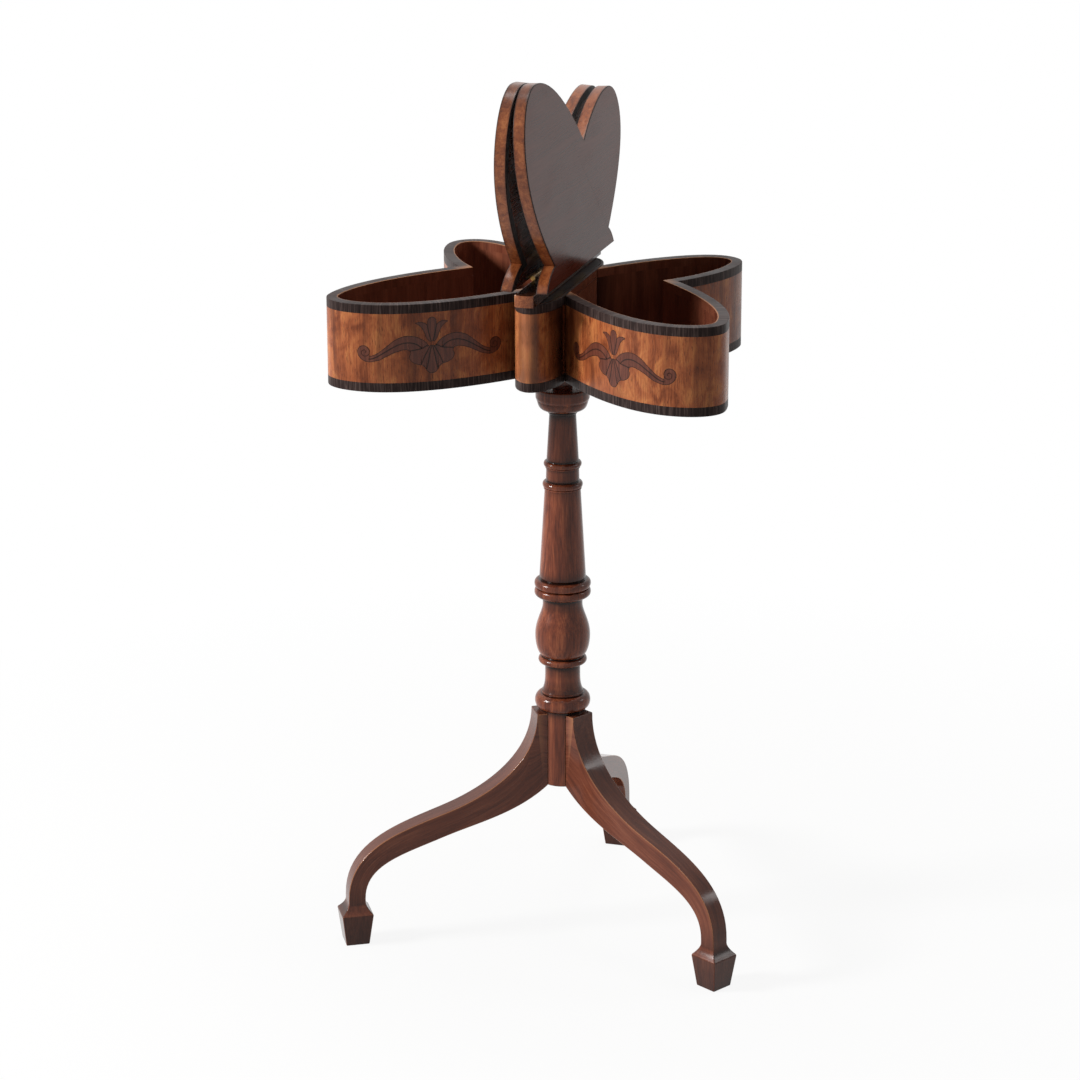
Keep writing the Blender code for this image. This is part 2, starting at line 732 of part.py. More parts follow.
def leg():
    """One leg along +X with its spade foot and dovetail tongue, drilled for the brace screw."""
    upper, lower = leg_edges()
    sections = []
    for a, b in zip(upper, lower):
        share = min(max(((a.x + b.x) / 2 - LEG_FLAT) / (ANKLE_RADIUS - LEG_FLAT), 0.0), 1.0)
        half = (LEG_WIDTH + (ANKLE_WIDTH - LEG_WIDTH) * share) / 2
        sections.append(side_section(a, b, half))
    collar = FOOT_SHOULDER + (FOOT_TOP_SIZE - ANKLE_DEPTH)
    levels = [(collar, ANKLE_DEPTH, ANKLE_WIDTH), (FOOT_SHOULDER, FOOT_TOP_SIZE, FOOT_TOP_SIZE)]
    levels.append((0.0, FOOT_BOTTOM_SIZE, FOOT_BOTTOM_SIZE))
    for height, depth, width in levels:
        middle = FOOT_RADIUS if height < collar else ANKLE_RADIUS
        far = Vector((middle + depth / 2, height))
        near = Vector((middle - depth / 2, height))
        sections.append(side_section(far, near, width / 2))
    tongue = dovetail(0.0, HUB_BOTTOM + FIT, LEG_TOP - DOVETAIL_TOP_MARGIN)
    shape = combine(loft(sections), tongue, "UNION")
    return combine(shape, brace_screw(leg_screw_frame(), FIT), "DIFFERENCE")


def hub_screw_frame():
    """The brace screw in the middle of the hub, driven upwards."""
    return axis_frame(Vector((0.0, 0.0, HUB_BOTTOM - FIT - BRACE_THICKNESS)), Vector((0.0, 0.0, 1.0)))


def column():
    """The turned column with flats and dovetail sockets for three legs."""
    shape = turned(column_foot_profile() + column_head_profile(), ROUND_SIDES)
    flats = []
    sockets = []
    for angle in LEG_ANGLES.values():
        turn = Matrix.Rotation(math.radians(angle), 4, "Z")
        half = LEG_WIDTH / 2 + FIT
        low = (LEG_FLAT, -half, HUB_BOTTOM - CUT_MARGIN)
        high = (HUB_RADIUS + CUT_MARGIN, half, LEG_TOP + FIT)
        flat = box(low, high)
        flat.transform(turn)
        flats.append(flat)
        socket = dovetail(FIT, HUB_BOTTOM - CUT_MARGIN, LEG_TOP - DOVETAIL_TOP_MARGIN + FIT)
        socket.transform(turn)
        sockets.append(socket)
    shape = combine(shape, merge(flats), "DIFFERENCE")
    shape = combine(shape, merge(sockets), "DIFFERENCE")
    return combine(shape, brace_screw(hub_screw_frame(), FIT), "DIFFERENCE")


def brace():
    """The three-armed brace: a plate under the hub whose arms bend down under the legs."""
    lower = leg_edges()[1]
    heel = lower[0]
    path = [Vector((BRACE_HUB_RADIUS / 2, heel.y)), heel] + lower[2:5]
    near = shifted(path, FIT)
    far = shifted(path, FIT + BRACE_THICKNESS)
    near[0].y = near[1].y = HUB_BOTTOM - FIT
    far[0].y = far[1].y = HUB_BOTTOM - FIT - BRACE_THICKNESS
    half = BRACE_ARM_WIDTH / 2
    arm = loft([side_section(a, b, half) for a, b in zip(near, far)])
    low = HUB_BOTTOM - FIT - BRACE_THICKNESS
    plate = turned([(BRACE_HUB_RADIUS, low), (BRACE_HUB_RADIUS, HUB_BOTTOM - FIT)], ROUND_SIDES)
    holes = [brace_screw(hub_screw_frame(), FIT)]
    for angle in LEG_ANGLES.values():
        turn = Matrix.Rotation(math.radians(angle), 4, "Z")
        limb = arm.copy()
        limb.transform(turn)
        plate = combine(plate, limb, "UNION")
        holes.append(brace_screw(turn @ leg_screw_frame(), FIT))
    bpy.data.meshes.remove(arm)
    return combine(plate, merge(holes), "DIFFERENCE")


def build_stand(table, mahogany, iron, steel):
    """The column, its legs and the brace under them."""
    place("column", column(), mahogany, table)
    place("leg_brace", brace(), iron, table)
    place("brace_screw_hub", brace_screw(hub_screw_frame()), steel, table)
    for name, angle in LEG_ANGLES.items():
        place("leg_" + name, leg(), mahogany, table, angle)
        place("brace_screw_" + name, brace_screw(leg_screw_frame()), steel, table, angle)


def build_box(table, mahogany, veneer, rosewood, lining):
    """The spine and the two wings that grow from it."""
    place("body_core", body_core(), veneer, table)
    place("body_rim_band", body_band(RIM_HEIGHT - RIM_BAND, RIM_HEIGHT), rosewood, table)
    place("body_base_band", body_band(BASE_Z, BASE_Z + BASE_BAND), rosewood, table)
    place("spine_cap", spine_cap(), mahogany, table)
    wall_bottom = BASE_Z + BASE_BAND + FIT
    wall_top = RIM_HEIGHT - RIM_BAND - FIT
    for name, side in SIDES.items():
        place(name + "_wing_wall", wall_strip(side, wall_bottom, wall_top), veneer, table)
        lipping = wall_strip(side, RIM_HEIGHT - RIM_BAND, RIM_HEIGHT)
        place(name + "_rim_lipping", lipping, rosewood, table)
        place(name + "_base_lipping", base_lipping(side), rosewood, table)
        place(name + "_bottom_board", bottom_board(side), lining, table)


def build_lids(table, mahogany, brass):
    """The lids on their hinges. Each axis frame carries what swings, and is turned to the open pose."""
    for name, side in SIDES.items():
        axis = empty(name + "_lid_axis", table)
        axis.location = (side * AXIS_X, 0.0, AXIS_Z)
        axis.rotation_euler = (0.0, -side * open_angle(), 0.0)
        place(name + "_lid", lid(side), mahogany, axis)
        for row, y in HINGE_ROWS.items():
            build_hinge(name + "_" + row + "_hinge_", side, y, axis, table, brass)


def build_hinge(name, side, y, axis, table, brass):
    """One butt hinge: a leaf on the cap with the pin, a leaf on the lid, and their screws."""
    fixed = Vector((side * AXIS_X, y, AXIS_Z))
    swinging = Vector((0.0, y, 0.0))
    place(name + "pin", hinge_pin(), brass, table).location = fixed
    for label, way, middle, parent, seat in (
        ("cap", -side, False, table, fixed),
        ("lid", side, True, axis, swinging),
    ):
        place(name + label + "_leaf", hinge_leaf(way, middle), brass, parent).location = seat
        for k, frame in enumerate(hinge_screw_frames(way)):
            screw_name = name + label + "_screw_" + str(k + 1)
            place(screw_name, hinge_screw(frame), brass, parent).location = seat


def main():
    """Clear the scene and build every piece."""
    for old in list(bpy.data.objects):
        bpy.data.objects.remove(old)
    mahogany = finish("polished mahogany", (0.095, 0.030, 0.014), 0.32)
    veneer = finish("figured mahogany veneer", (0.300, 0.105, 0.030), 0.30)
    rosewood = finish("rosewood banding", (0.022, 0.013, 0.011), 0.35)
    lining = finish("stained lining", (0.060, 0.020, 0.010), 0.50)
    brass = finish("brass", (0.700, 0.470, 0.170), 0.30, 1.0)
    iron = finish("wrought iron", (0.060, 0.058, 0.055), 0.60, 1.0)
    steel = finish("steel", (0.400, 0.390, 0.380), 0.40, 1.0)
    table = empty("table")
    table.location = (0.0, CENTRE_SHIFT, 0.0)
    build_stand(table, mahogany, iron, steel)
    build_box(table, mahogany, veneer, rosewood, lining)
    build_lids(table, mahogany, brass)


main()
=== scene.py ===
# %% [markdown]
# # A butterfly work table, dressed for its picture
# The real table has two wing-shaped boxes either side of a narrow oval spine. Each box has a lid
# that is hinged on the spine, and the pair stands open like the raised wings of a butterfly.
# Below are a turned column and three curved legs on spade feet. The measured solids come in
# first, and every piece that follows is put exactly where its solid says.

# %% Load the measured frame
import math

import bmesh
import bpy
from mathutils import Matrix, Vector
from mathutils.kdtree import KDTree


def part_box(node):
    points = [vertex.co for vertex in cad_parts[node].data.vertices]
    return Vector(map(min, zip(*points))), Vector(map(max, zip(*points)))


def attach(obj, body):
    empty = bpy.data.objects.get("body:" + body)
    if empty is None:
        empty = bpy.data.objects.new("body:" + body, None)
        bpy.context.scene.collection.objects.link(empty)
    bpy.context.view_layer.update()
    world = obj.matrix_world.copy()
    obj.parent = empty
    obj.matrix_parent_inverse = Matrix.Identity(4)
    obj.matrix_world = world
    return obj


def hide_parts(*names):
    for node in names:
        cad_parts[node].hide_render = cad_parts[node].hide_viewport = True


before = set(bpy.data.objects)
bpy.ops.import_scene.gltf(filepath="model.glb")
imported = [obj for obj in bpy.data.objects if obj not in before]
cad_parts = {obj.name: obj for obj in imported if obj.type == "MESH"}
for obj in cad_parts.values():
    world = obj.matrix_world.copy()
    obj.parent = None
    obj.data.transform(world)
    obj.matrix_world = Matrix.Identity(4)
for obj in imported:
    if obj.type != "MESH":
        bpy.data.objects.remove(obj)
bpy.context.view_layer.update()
column_low, column_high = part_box("column")
AXIS = Vector((0.0, (column_low.y + column_high.y) / 2, 0.0))
FIT = 0.0003
SIDES = {"left": -1, "right": 1}

# %% [markdown]
# ## Camera
# The picture was taken from a little to the right of the front, from about one and a half metres
# up, with a long lens. A long lens keeps upright lines nearly parallel, so the distance matters
# as much as the angle. The small sideways shift puts the column right of the middle, as framed.

# %% Camera at the picture's viewing angle
IMAGE_SIZE = 1080
FOCAL_PIXELS = 3423.0
SHIFT_PIXELS = -22.67
SENSOR_WIDTH = 36.0
CAMERA_TURN = math.radians(16.4)
CAMERA_PITCH = math.radians(17.94)
CAMERA_DISTANCE = 3.3717
CAMERA_HEIGHT = 1.5201

bpy.ops.object.select_all(action="DESELECT")
away = Vector((math.sin(CAMERA_TURN), -math.cos(CAMERA_TURN), 0.0)) * CAMERA_DISTANCE
bpy.ops.object.camera_add(
    location=AXIS + away + Vector((0.0, 0.0, CAMERA_HEIGHT)),
    rotation=(math.pi / 2 - CAMERA_PITCH, 0.0, CAMERA_TURN),
)
camera = bpy.context.object
camera.name = "photo_camera"
camera.data.sensor_width = SENSOR_WIDTH
camera.data.lens = FOCAL_PIXELS / IMAGE_SIZE * SENSOR_WIDTH
camera.data.shift_x = SHIFT_PIXELS / IMAGE_SIZE
bpy.context.scene.camera = camera
print("lens", round(camera.data.lens, 1), "mm")

# %% [markdown]
# ## Materials: the tools
# A finish is a small network of nodes. One function adds a node, sets it up and links what feeds
# it. Colours are written as on a colour card, in sRGB, and turned to linear light once.

# %% Colours and nodes


def linear(code):
    """An sRGB hex colour as linear red, green, blue and alpha."""
    parts = [int(code[i : i + 2], 16) / 255 for i in (1, 3, 5)]
    light = [c / 12.92 if c <= 0.04045 else ((c + 0.055) / 1.055) ** 2.4 for c in parts]
    return (*light, 1.0)


def add(tree, kind, feeds=None, **settings):
    """One node with its settings, and the value or the link that feeds each socket."""
    made = tree.nodes.new("ShaderNode" + kind)
    for key, value in settings.items():
        setattr(made, key, value)
    for socket, source in (feeds or {}).items():
        if isinstance(source, bpy.types.NodeSocket):
            tree.links.new(source, made.inputs[socket])
        else:
            made.inputs[socket].default_value = source
    return made


def maths(tree, operation, *values):
    """The result of one sum on numbers."""
    return add(tree, "Math", dict(enumerate(values)), operation=operation).outputs[0]


def ramp(tree, value, low, high, start=0.0, end=1.0):
    """A number spread from one range to another, and kept inside it."""
    feeds = {"Value": value, "From Min": low, "From Max": high, "To Min": start, "To Max": end}
    return add(tree, "MapRange", feeds).outputs[0]


def new_material(name):
    """An empty material and its tree, with only the output node."""
    material = bpy.data.materials.new(name)
    material.use_nodes = True
    tree = material.node_tree
    tree.nodes.clear()
    return material, tree


print("dark mahogany in linear light", [round(c, 3) for c in linear("#5a2c1e")])

# %% [markdown]
# ## Studio
# The room is plain: a pale floor, a pale surround and three soft lamps. The strongest lamp is
# high on the left, where the column's bright edge shows it to be. The white that the camera sees
# comes from the surround's own colour, so the lamps can stay at a level where each wood shows
# about the colour that it is given.

# %% Surround and floor
AMBIENT = 0.10
NEAR_GLOW = 0.90
GLOW_RING = (0.35, 1.1)
FLOOR_SIZE = 60.0
WHITE = (1.0, 1.0, 1.0, 1.0)


def seen_plainly(tree):
    """One where the camera, a gloss or clear glass looks straight at it, and zero elsewhere."""
    path = add(tree, "LightPath").outputs
    seen = maths(tree, "MAXIMUM", path["Is Camera Ray"], path["Is Glossy Ray"])
    return maths(tree, "MAXIMUM", seen, path["Is Transmission Ray"])


world = bpy.data.worlds.new("pale_surround")
bpy.context.scene.world = world
world.use_nodes = True
tree = world.node_tree
tree.nodes.clear()
strength = ramp(tree, seen_plainly(tree), 0.0, 1.0, AMBIENT, 1.0)
glow = add(tree, "Background", {"Color": WHITE, "Strength": strength})
add(tree, "OutputWorld", {"Surface": glow.outputs[0]})

floor_paint, tree = new_material("matt_white_paint")
spot = add(tree, "TexCoord").outputs["Object"]
distance = add(tree, "VectorMath", {0: spot}, operation="LENGTH").outputs["Value"]
share = maths(tree, "MULTIPLY", seen_plainly(tree), ramp(tree, distance, *GLOW_RING, NEAR_GLOW))
matt = add(tree, "BsdfDiffuse", {"Color": linear("#dcdbd9")})
glow = add(tree, "Emission", {"Color": WHITE, "Strength": 1.0})
mixed = add(tree, "MixShader", {0: share, 1: matt.outputs[0], 2: glow.outputs[0]})
add(tree, "OutputMaterial", {"Surface": mixed.outputs[0]})

bpy.ops.mesh.primitive_plane_add(size=FLOOR_SIZE)
floor = bpy.context.object
floor.name = "studio_floor"
floor.data.materials.append(floor_paint)
print("floor", floor.dimensions.x, "m across")

# %% Three soft lamps
TABLE_MIDDLE = Vector((0.0, 0.0, 0.5))


def softbox(name, place, size, watts):
    """A square soft lamp that faces the middle of the table."""
    bpy.ops.object.light_add(type="AREA", location=place)
    lamp = bpy.context.object
    lamp.name = name
    lamp.data.size = size
    lamp.data.energy = watts
    aim = TABLE_MIDDLE - Vector(place)
    lamp.rotation_euler = aim.to_track_quat("-Z", "Y").to_euler()


softbox("key_left", (-2.6, -1.5, 1.9), size=0.75, watts=148.0)
softbox("rim_right", (2.5, 1.1, 1.7), size=0.66, watts=9.0)
softbox("overhead", (0.2, 0.2, 3.0), size=1.5, watts=36.0)
bpy.context.scene.view_settings.view_transform = "Standard"

# %% [markdown]
# ## Wood
# Every wooden piece carries a vector called grain at each corner: how far it lies along the
# fibres, across them, and in depth, in metres. A pattern on that vector follows a curved leg or
# a bent wall as real fibres do, and no two pieces need look alike. A second value is below zero
# where shade is painted into recesses, corners and gaps or onto faces turned from the lamps, and
# where a part is simply darker; above zero it is a painted highlight along an edge or the spine.
# Each pattern is stretched by its real size: fibres a millimetre wide, pores half a millimetre,
# and the flame of a mahogany veneer a few centimetres long.

# %% One recipe for the woods
SWAY, FIBRE, PORE, RIBBON, HAZE = (130, 45), (48, 1.3), (7, 0.55), (240, 16), (60, 35)
SWAY_REACH = (0.004, 0.007, 0.007)
DARK_TONE, MIDDLE_TONE, LIGHT_TONE = 0.36, 0.5, 0.64
PORE_DEPTH = 0.0003
BUMP_STRENGTH = 0.35
# Near black for painted shade and darker tone, and a pale brown for painted highlights, blended in
# by each corner's second value.
PAINTED_SHADE_AND_DARKER_TONE = linear("#0f0605")
PAINTED_HIGHLIGHT = linear("#a5714e")


def vectors(tree, operation, *values):
    """The result of one sum on vectors."""
    return add(tree, "VectorMath", dict(enumerate(values)), operation=operation).outputs[0]


def noise(tree, vector, size, **settings):
    """Noise with markings of a real size: millimetres along the grain and across it."""
    along, across = (1000 / length for length in size)
    scaled = vectors(tree, "MULTIPLY", vector, (along, across, across))
    return add(tree, "TexNoise", {"Vector": scaled, "Scale": 1.0, **settings}).outputs


def blend(tree, share, first, second):
    """Two colours mixed, with this share of the second."""
    return add(tree, "Mix", {0: share, 6: first, 7: second}, data_type="RGBA").outputs[2]


def wood(name, colours, figure, share, pores, rough, gleam, ribbon=0.0):
    """A polished wood: its dark, middle, light and pore colours, the length and width in
    millimetres of its larger markings, how much these, the pores and dark ribbons show, and how
    rough and how bright the polish is."""
    material, tree = new_material(name)
    dark, middle, light, pore = (linear(code) for code in colours.split())
    grain = add(tree, "Attribute", attribute_name="grain").outputs["Vector"]
    sway = noise(tree, grain, SWAY, Detail=2.0)["Color"]
    sway = vectors(tree, "SUBTRACT", sway, (0.5, 0.5, 0.5))
    bent = vectors(tree, "ADD", grain, vectors(tree, "MULTIPLY", sway, SWAY_REACH))
    fibre = noise(tree, bent, FIBRE, Detail=4.0, Roughness=0.6)["Fac"]
    flame = noise(tree, bent, figure, Detail=3.0, Distortion=0.9)["Fac"]
    tone = maths(tree, "MULTIPLY_ADD", fibre, 1 - share, maths(tree, "MULTIPLY", flame, share))
    colour = blend(tree, ramp(tree, tone, DARK_TONE, MIDDLE_TONE), dark, middle)
    colour = blend(tree, ramp(tree, tone, MIDDLE_TONE, LIGHT_TONE), colour, light)
    bands = noise(tree, bent, RIBBON, Detail=2.0)["Fac"]
    colour = blend(tree, ramp(tree, bands, 0.5, 0.68, 0.0, ribbon), colour, pore)
    speck = noise(tree, bent, PORE, Detail=1.0)["Fac"]
    pits = maths(tree, "MULTIPLY", ramp(tree, speck, 0.6, 0.7), pores)
    colour = blend(tree, pits, colour, pore)
    # Painted shade and darker tone where the corner's second value is below zero, a painted
    # highlight where it is above.
    painted_light_and_tone = add(tree, "Attribute", attribute_name="painted_light_and_tone").outputs["Fac"]
    colour = blend(tree, ramp(tree, painted_light_and_tone, 0.0, -1.0), colour, PAINTED_SHADE_AND_DARKER_TONE)
    colour = blend(tree, ramp(tree, painted_light_and_tone, 0.0, 1.0), colour, PAINTED_HIGHLIGHT)
    haze = noise(tree, grain, HAZE, Detail=3.0)["Fac"]
    height = maths(tree, "SUBTRACT", fibre, pits)
    bump = {"Strength": BUMP_STRENGTH, "Distance": PORE_DEPTH * pores, "Height": height}
    feeds = {
        "Base Color": colour,
        "Roughness": ramp(tree, haze, 0.3, 0.7, rough - 0.05, rough + 0.07),
        "Normal": add(tree, "Bump", bump).outputs[0],
        "IOR": 1.5,
        "Specular IOR Level": gleam,
    }
    shader = add(tree, "BsdfPrincipled", feeds)
    add(tree, "OutputMaterial", {"Surface": shader.outputs[0]})
    return material


# %% The woods of this table
# Solid mahogany under dark French polish: red-brown and glossy, with long faint streaks.
polished_mahogany = wood(
    "polished_mahogany", "#50261a #733a26 #925235 #29120c", figure=(80, 9),
    share=0.5, pores=0.3, rough=0.14, gleam=0.24, ribbon=0.15,
)
# The same mahogany on the legs, a little darker, and greyer as a painted sheen.
leg_mahogany_painted_sheen = wood(
    "leg_mahogany_painted_sheen", "#532a1d #693726 #7b4732 #2b150f", figure=(80, 9),
    share=0.5, pores=0.04, rough=0.14, gleam=0.24, ribbon=0.12,
)
# And on the tops of the lids, a little darker as painted shade in the gap between the open lids,
# and rubbed down smooth so that the pores are filled.
top_mahogany_painted_shade = wood(
    "top_mahogany_painted_shade", "#4a2418 #693623 #854b30 #29120c", figure=(120, 14),
    share=0.5, pores=0.08, rough=0.16, gleam=0.2, ribbon=0.15,
)
# Flame mahogany veneer under satin lacquer: orange-brown and mottled, with soft dark ribbons.
mahogany_veneer = wood(
    "flame_mahogany_veneer", "#69331a #914f2d #b06e3f #3e190c", figure=(28, 17),
    share=0.6, pores=0.75, rough=0.27, gleam=0.2, ribbon=0.62,
)
# Rosewood laid across the grain: nearly black, with fine paler lines across the strip.
rosewood = wood(
    "rosewood_crossbanding", "#1b1413 #2e2321 #524440 #0c0707", figure=(30, 2.0),
    share=0.42, pores=0.25, rough=0.36, gleam=0.06,
)
# Mahogany stained dark and left smooth: the inside of the boxes.
stained_lining = wood(
    "stained_mahogany_lining", "#5a2d20 #6a3a29 #794531 #391e17", figure=(90, 16),
    share=0.6, pores=0.25, rough=0.2, gleam=0.4, ribbon=0.4,
)
# Straight-grained mahogany under hard lacquer, toned dark: the lids.
satin_mahogany = wood(
    "satin_mahogany", "#4a2118 #55281d #613024 #33170f", figure=(200, 12),
    share=0.5, pores=0.06, rough=0.17, gleam=0.06,
)
# The same wood on the edges of the lids, where the tone is rubbed through to a warm brown.
edge_mahogany = wood(
    "edge_mahogany", "#5f2e18 #7f4424 #985b34 #3c190a", figure=(60, 7),
    share=0.55, pores=0.35, rough=0.24, gleam=0.35, ribbon=0.3,
)
# Walnut shaded with hot sand: the dark inlay on the front lobes.
sand_shaded_walnut = wood(
    "sand_shaded_walnut", "#401d13 #572b1d #6a3a29 #2a120c", figure=(30, 4),
    share=0.5, pores=0.3, rough=0.34, gleam=0.3,
)
# The same walnut where hot sand has burnt it: the dark line round each shape.
burnt_walnut = wood(
    "burnt_walnut", "#1d0d08 #27130c #311911 #140805", figure=(30, 4),
    share=0.5, pores=0.3, rough=0.38, gleam=0.2,
)
print("woods", [m.name for m in bpy.data.materials if "mahogany" in m.name or "wood" in m.name])

# %% [markdown]
# ## Metals
# The hinges are cast and filed brass, dull from age with brighter rubbed places. The brace under
# the legs is wrought iron, nearly black, and its screws are plain steel.

# %% Brass, iron and steel
FILE_MARK = 0.6
FILE_DEPTH = 0.0001
FILE_STRENGTH = 0.06


def metal(name, clean, dull, patch, rough):
    """A worked metal. Patch is the width in millimetres of its dull places."""
    material, tree = new_material(name)
    spot = add(tree, "TexCoord").outputs["Object"]
    cloud = noise(tree, spot, (patch, patch), Detail=4.0)["Fac"]
    tooth = noise(tree, spot, (FILE_MARK, FILE_MARK), Detail=2.0)["Fac"]
    bump = {"Strength": FILE_STRENGTH, "Distance": FILE_DEPTH, "Height": tooth}
    feeds = {
        "Base Color": blend(tree, cloud, linear(clean), linear(dull)),
        "Metallic": 1.0,
        "Roughness": ramp(tree, cloud, 0.3, 0.7, rough - 0.08, rough + 0.12),
        "Normal": add(tree, "Bump", bump).outputs[0],
    }
    shader = add(tree, "BsdfPrincipled", feeds)
    add(tree, "OutputMaterial", {"Surface": shader.outputs[0]})
    return material


brass = metal("aged_brass", "#b8935a", "#8d6d3c", patch=7.0, rough=0.3)
wrought_iron = metal("wrought_iron", "#3a3836", "#211f1e", patch=5.0, rough=0.55)
steel = metal("plain_steel", "#9a9894", "#6d6a66", patch=2.0, rough=0.38)
print("metals", brass.name, wrought_iron.name, steel.name)

# %% [markdown]
# ## Modelling by hand
# The helpers below are the moves of hand modelling. A ring of edges is drawn and pulled up ring
# by ring. A strip is a grid with its rows laid along two lines. Sharp edges are then found by
# their angle and eased with a bevel, because no joiner leaves an arris sharp enough to cut.

# %% Moves that every piece uses
SAME = 1e-6
SMOOTH_BELOW = math.radians(38)
BIG_FACE = 40
FACING = 0.95


def clear_selection():
    """Object mode, with nothing selected."""
    if bpy.context.object and bpy.context.object.mode != "OBJECT":
        bpy.ops.object.mode_set(mode="OBJECT")
    bpy.ops.object.select_all(action="DESELECT")


def take(piece):
    """One piece selected and active."""
    clear_selection()
    piece.select_set(True)
    bpy.context.view_layer.objects.active = piece


def edit(piece, action="DESELECT"):
    """One piece in edit mode, with nothing or everything selected in it."""
    take(piece)
    bpy.ops.object.mode_set(mode="EDIT")
    bpy.ops.mesh.select_all(action=action)


def pick(piece, kind, test):
    """In edit mode, the faces or edges that pass a test are selected."""
    bpy.ops.mesh.select_mode(type=kind)
    bpy.ops.mesh.select_all(action="DESELECT")
    mesh = bmesh.from_edit_mesh(piece.data)
    for item in mesh.faces if kind == "FACE" else mesh.edges:
        if test(item):
            item.select_set(True)
    mesh.select_flush_mode()
    bmesh.update_edit_mesh(piece.data)


def nearest(points):
    """A tree that finds the nearest of some points."""
    tree = KDTree(len(points))
    for i, point in enumerate(points):
        tree.insert(point, i)
    tree.balance()
    return tree


def tidy_skin(piece):
    """Doubles merged and faces turned outwards."""
    edit(piece, "SELECT")
    bpy.ops.mesh.remove_doubles(threshold=SAME)
    bpy.ops.mesh.normals_make_consistent(inside=False)
    bpy.ops.object.mode_set(mode="OBJECT")


def begun(name):
    """The primitive that was just added, as a piece with its own name at the origin."""
    piece = bpy.context.object
    piece.name = piece.data.name = name
    piece.matrix_world = Matrix.Identity(4)
    return piece


def ring(name, points, fill="NGON"):
    """A circle with its corners moved to points."""
    clear_selection()
    bpy.ops.mesh.primitive_circle_add(vertices=len(points), radius=0.01, fill_type=fill)
    piece = begun(name)
    for corner, point in zip(piece.data.vertices, points):
        corner.co = point
    return piece


def pull(piece, kind, rings):
    """What is drawn, extruded once for each further ring, its corners moved to that ring."""
    edit(piece)
    bpy.ops.mesh.select_mode(type=kind)
    bpy.ops.mesh.select_all(action="SELECT")
    for old, new in zip(rings, rings[1:]):
        bpy.ops.mesh.extrude_region_move()
        mesh = bmesh.from_edit_mesh(piece.data)
        tree = nearest(old)
        for corner in [v for v in mesh.verts if v.select]:
            corner.co = new[tree.find(corner.co)[1]]
        bmesh.update_edit_mesh(piece.data)


def loft(name, rings):
    """A solid drawn ring by ring, from a filled circle."""
    piece = ring(name, rings[0])
    pull(piece, "FACE", rings)
    tidy_skin(piece)
    return piece


def hoop(name, rings):
    """A closed band: a circle of edges, extruded round its section and bridged to its start."""
    piece = ring(name, rings[0], "NOTHING")
    pull(piece, "EDGE", rings)
    pick(piece, "EDGE", lambda edge: edge.is_boundary)
    bpy.ops.mesh.bridge_edge_loops()
    tidy_skin(piece)
    return piece


def extrude(*step):
    """What is selected, extruded by a step."""
    bpy.ops.mesh.extrude_region_move(TRANSFORM_OT_translate={"value": step})


def strip(name, rows, bottom, height):
    """A flat grid with one row of corners on each line, extruded upwards."""
    clear_selection()
    wide, deep = len(rows[0]) - 1, len(rows) - 1
    bpy.ops.mesh.primitive_grid_add(x_subdivisions=wide, y_subdivisions=deep, size=1.0)
    piece = begun(name)
    for corner in piece.data.vertices:
        spot = rows[round((corner.co.y + 0.5) * deep)][round((corner.co.x + 0.5) * wide)]
        corner.co = (spot.x, spot.y, bottom)
    edit(piece, "SELECT")
    extrude(0.0, 0.0, height)
    tidy_skin(piece)
    return piece


def ease(piece, width, sharper_than=30.0, segments=2, test=None):
    """Sharp edges eased with a small round."""
    limit = math.radians(sharper_than)

    def sharp(edge):
        if not edge.is_manifold or edge.calc_face_angle() < limit:
            return False
        return test is None or test(edge)

    edit(piece)
    pick(piece, "EDGE", sharp)
    bpy.ops.mesh.bevel(offset=width, segments=segments, profile=0.5, affect="EDGES")
    bpy.ops.object.mode_set(mode="OBJECT")


def cut(piece, cutters):
    """Cutters taken out of a piece one after another, and removed."""
    take(piece)
    for cutter in cutters:
        modifier = piece.modifiers.new("cut", "BOOLEAN")
        modifier.operation = "DIFFERENCE"
        modifier.solver = "EXACT"
        modifier.object = cutter
        bpy.ops.object.modifier_apply(modifier=modifier.name)
        bpy.data.objects.remove(cutter)


def block(low, high):
    """A box between two corners, to cut with."""
    low, high = Vector(low), Vector(high)
    bpy.ops.mesh.primitive_cube_add(size=1.0, location=(low + high) / 2, scale=high - low)
    return bpy.context.object


def copied(name, mesh):
    """A new piece with its own copy of a mesh."""
    piece = bpy.data.objects.new(name, mesh.copy())
    bpy.context.scene.collection.objects.link(piece)
    return piece


def lay_grain(piece, grain, painted_light_and_tone=None):
    """Each corner is told where it lies in its wood, and how far painted shade and darker tone
    darken it and a painted highlight lightens it.
    """
    layer = piece.data.attributes.new("grain", "FLOAT_VECTOR", "POINT").data
    for corner in piece.data.vertices:
        layer[corner.index].vector = grain(corner.co)
    if painted_light_and_tone:
        layer = piece.data.attributes.new("painted_light_and_tone", "FLOAT", "POINT").data
        for corner in piece.data.vertices:
            layer[corner.index].value = painted_light_and_tone(corner.co)


def settle(piece):
    """Rounds shaded smooth, while flat faces keep their own direction up to the eased edge."""
    take(piece)
    bpy.ops.object.shade_smooth_by_angle(angle=SMOOTH_BELOW)
    edges = {edge.key: edge for edge in piece.data.edges}
    for face in piece.data.polygons:
        if face.loop_total > BIG_FACE:
            for key in face.edge_keys:
                edges[key].use_edge_sharp = True
    modifier = piece.modifiers.new("flat_faces", "WEIGHTED_NORMAL")
    modifier.keep_sharp = True
    bpy.ops.object.modifier_apply(modifier=modifier.name)


def dress(piece, body, slot, finishes, *nodes):
    """Materials, body and the solids that this piece stands for. The finish slot is not used."""
    settle(piece)
    for finish in finishes:
        piece.data.materials.append(finish)
    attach(piece, body)
    if nodes:
        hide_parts(*nodes)
    print(piece.name, len(piece.data.polygons), "faces")


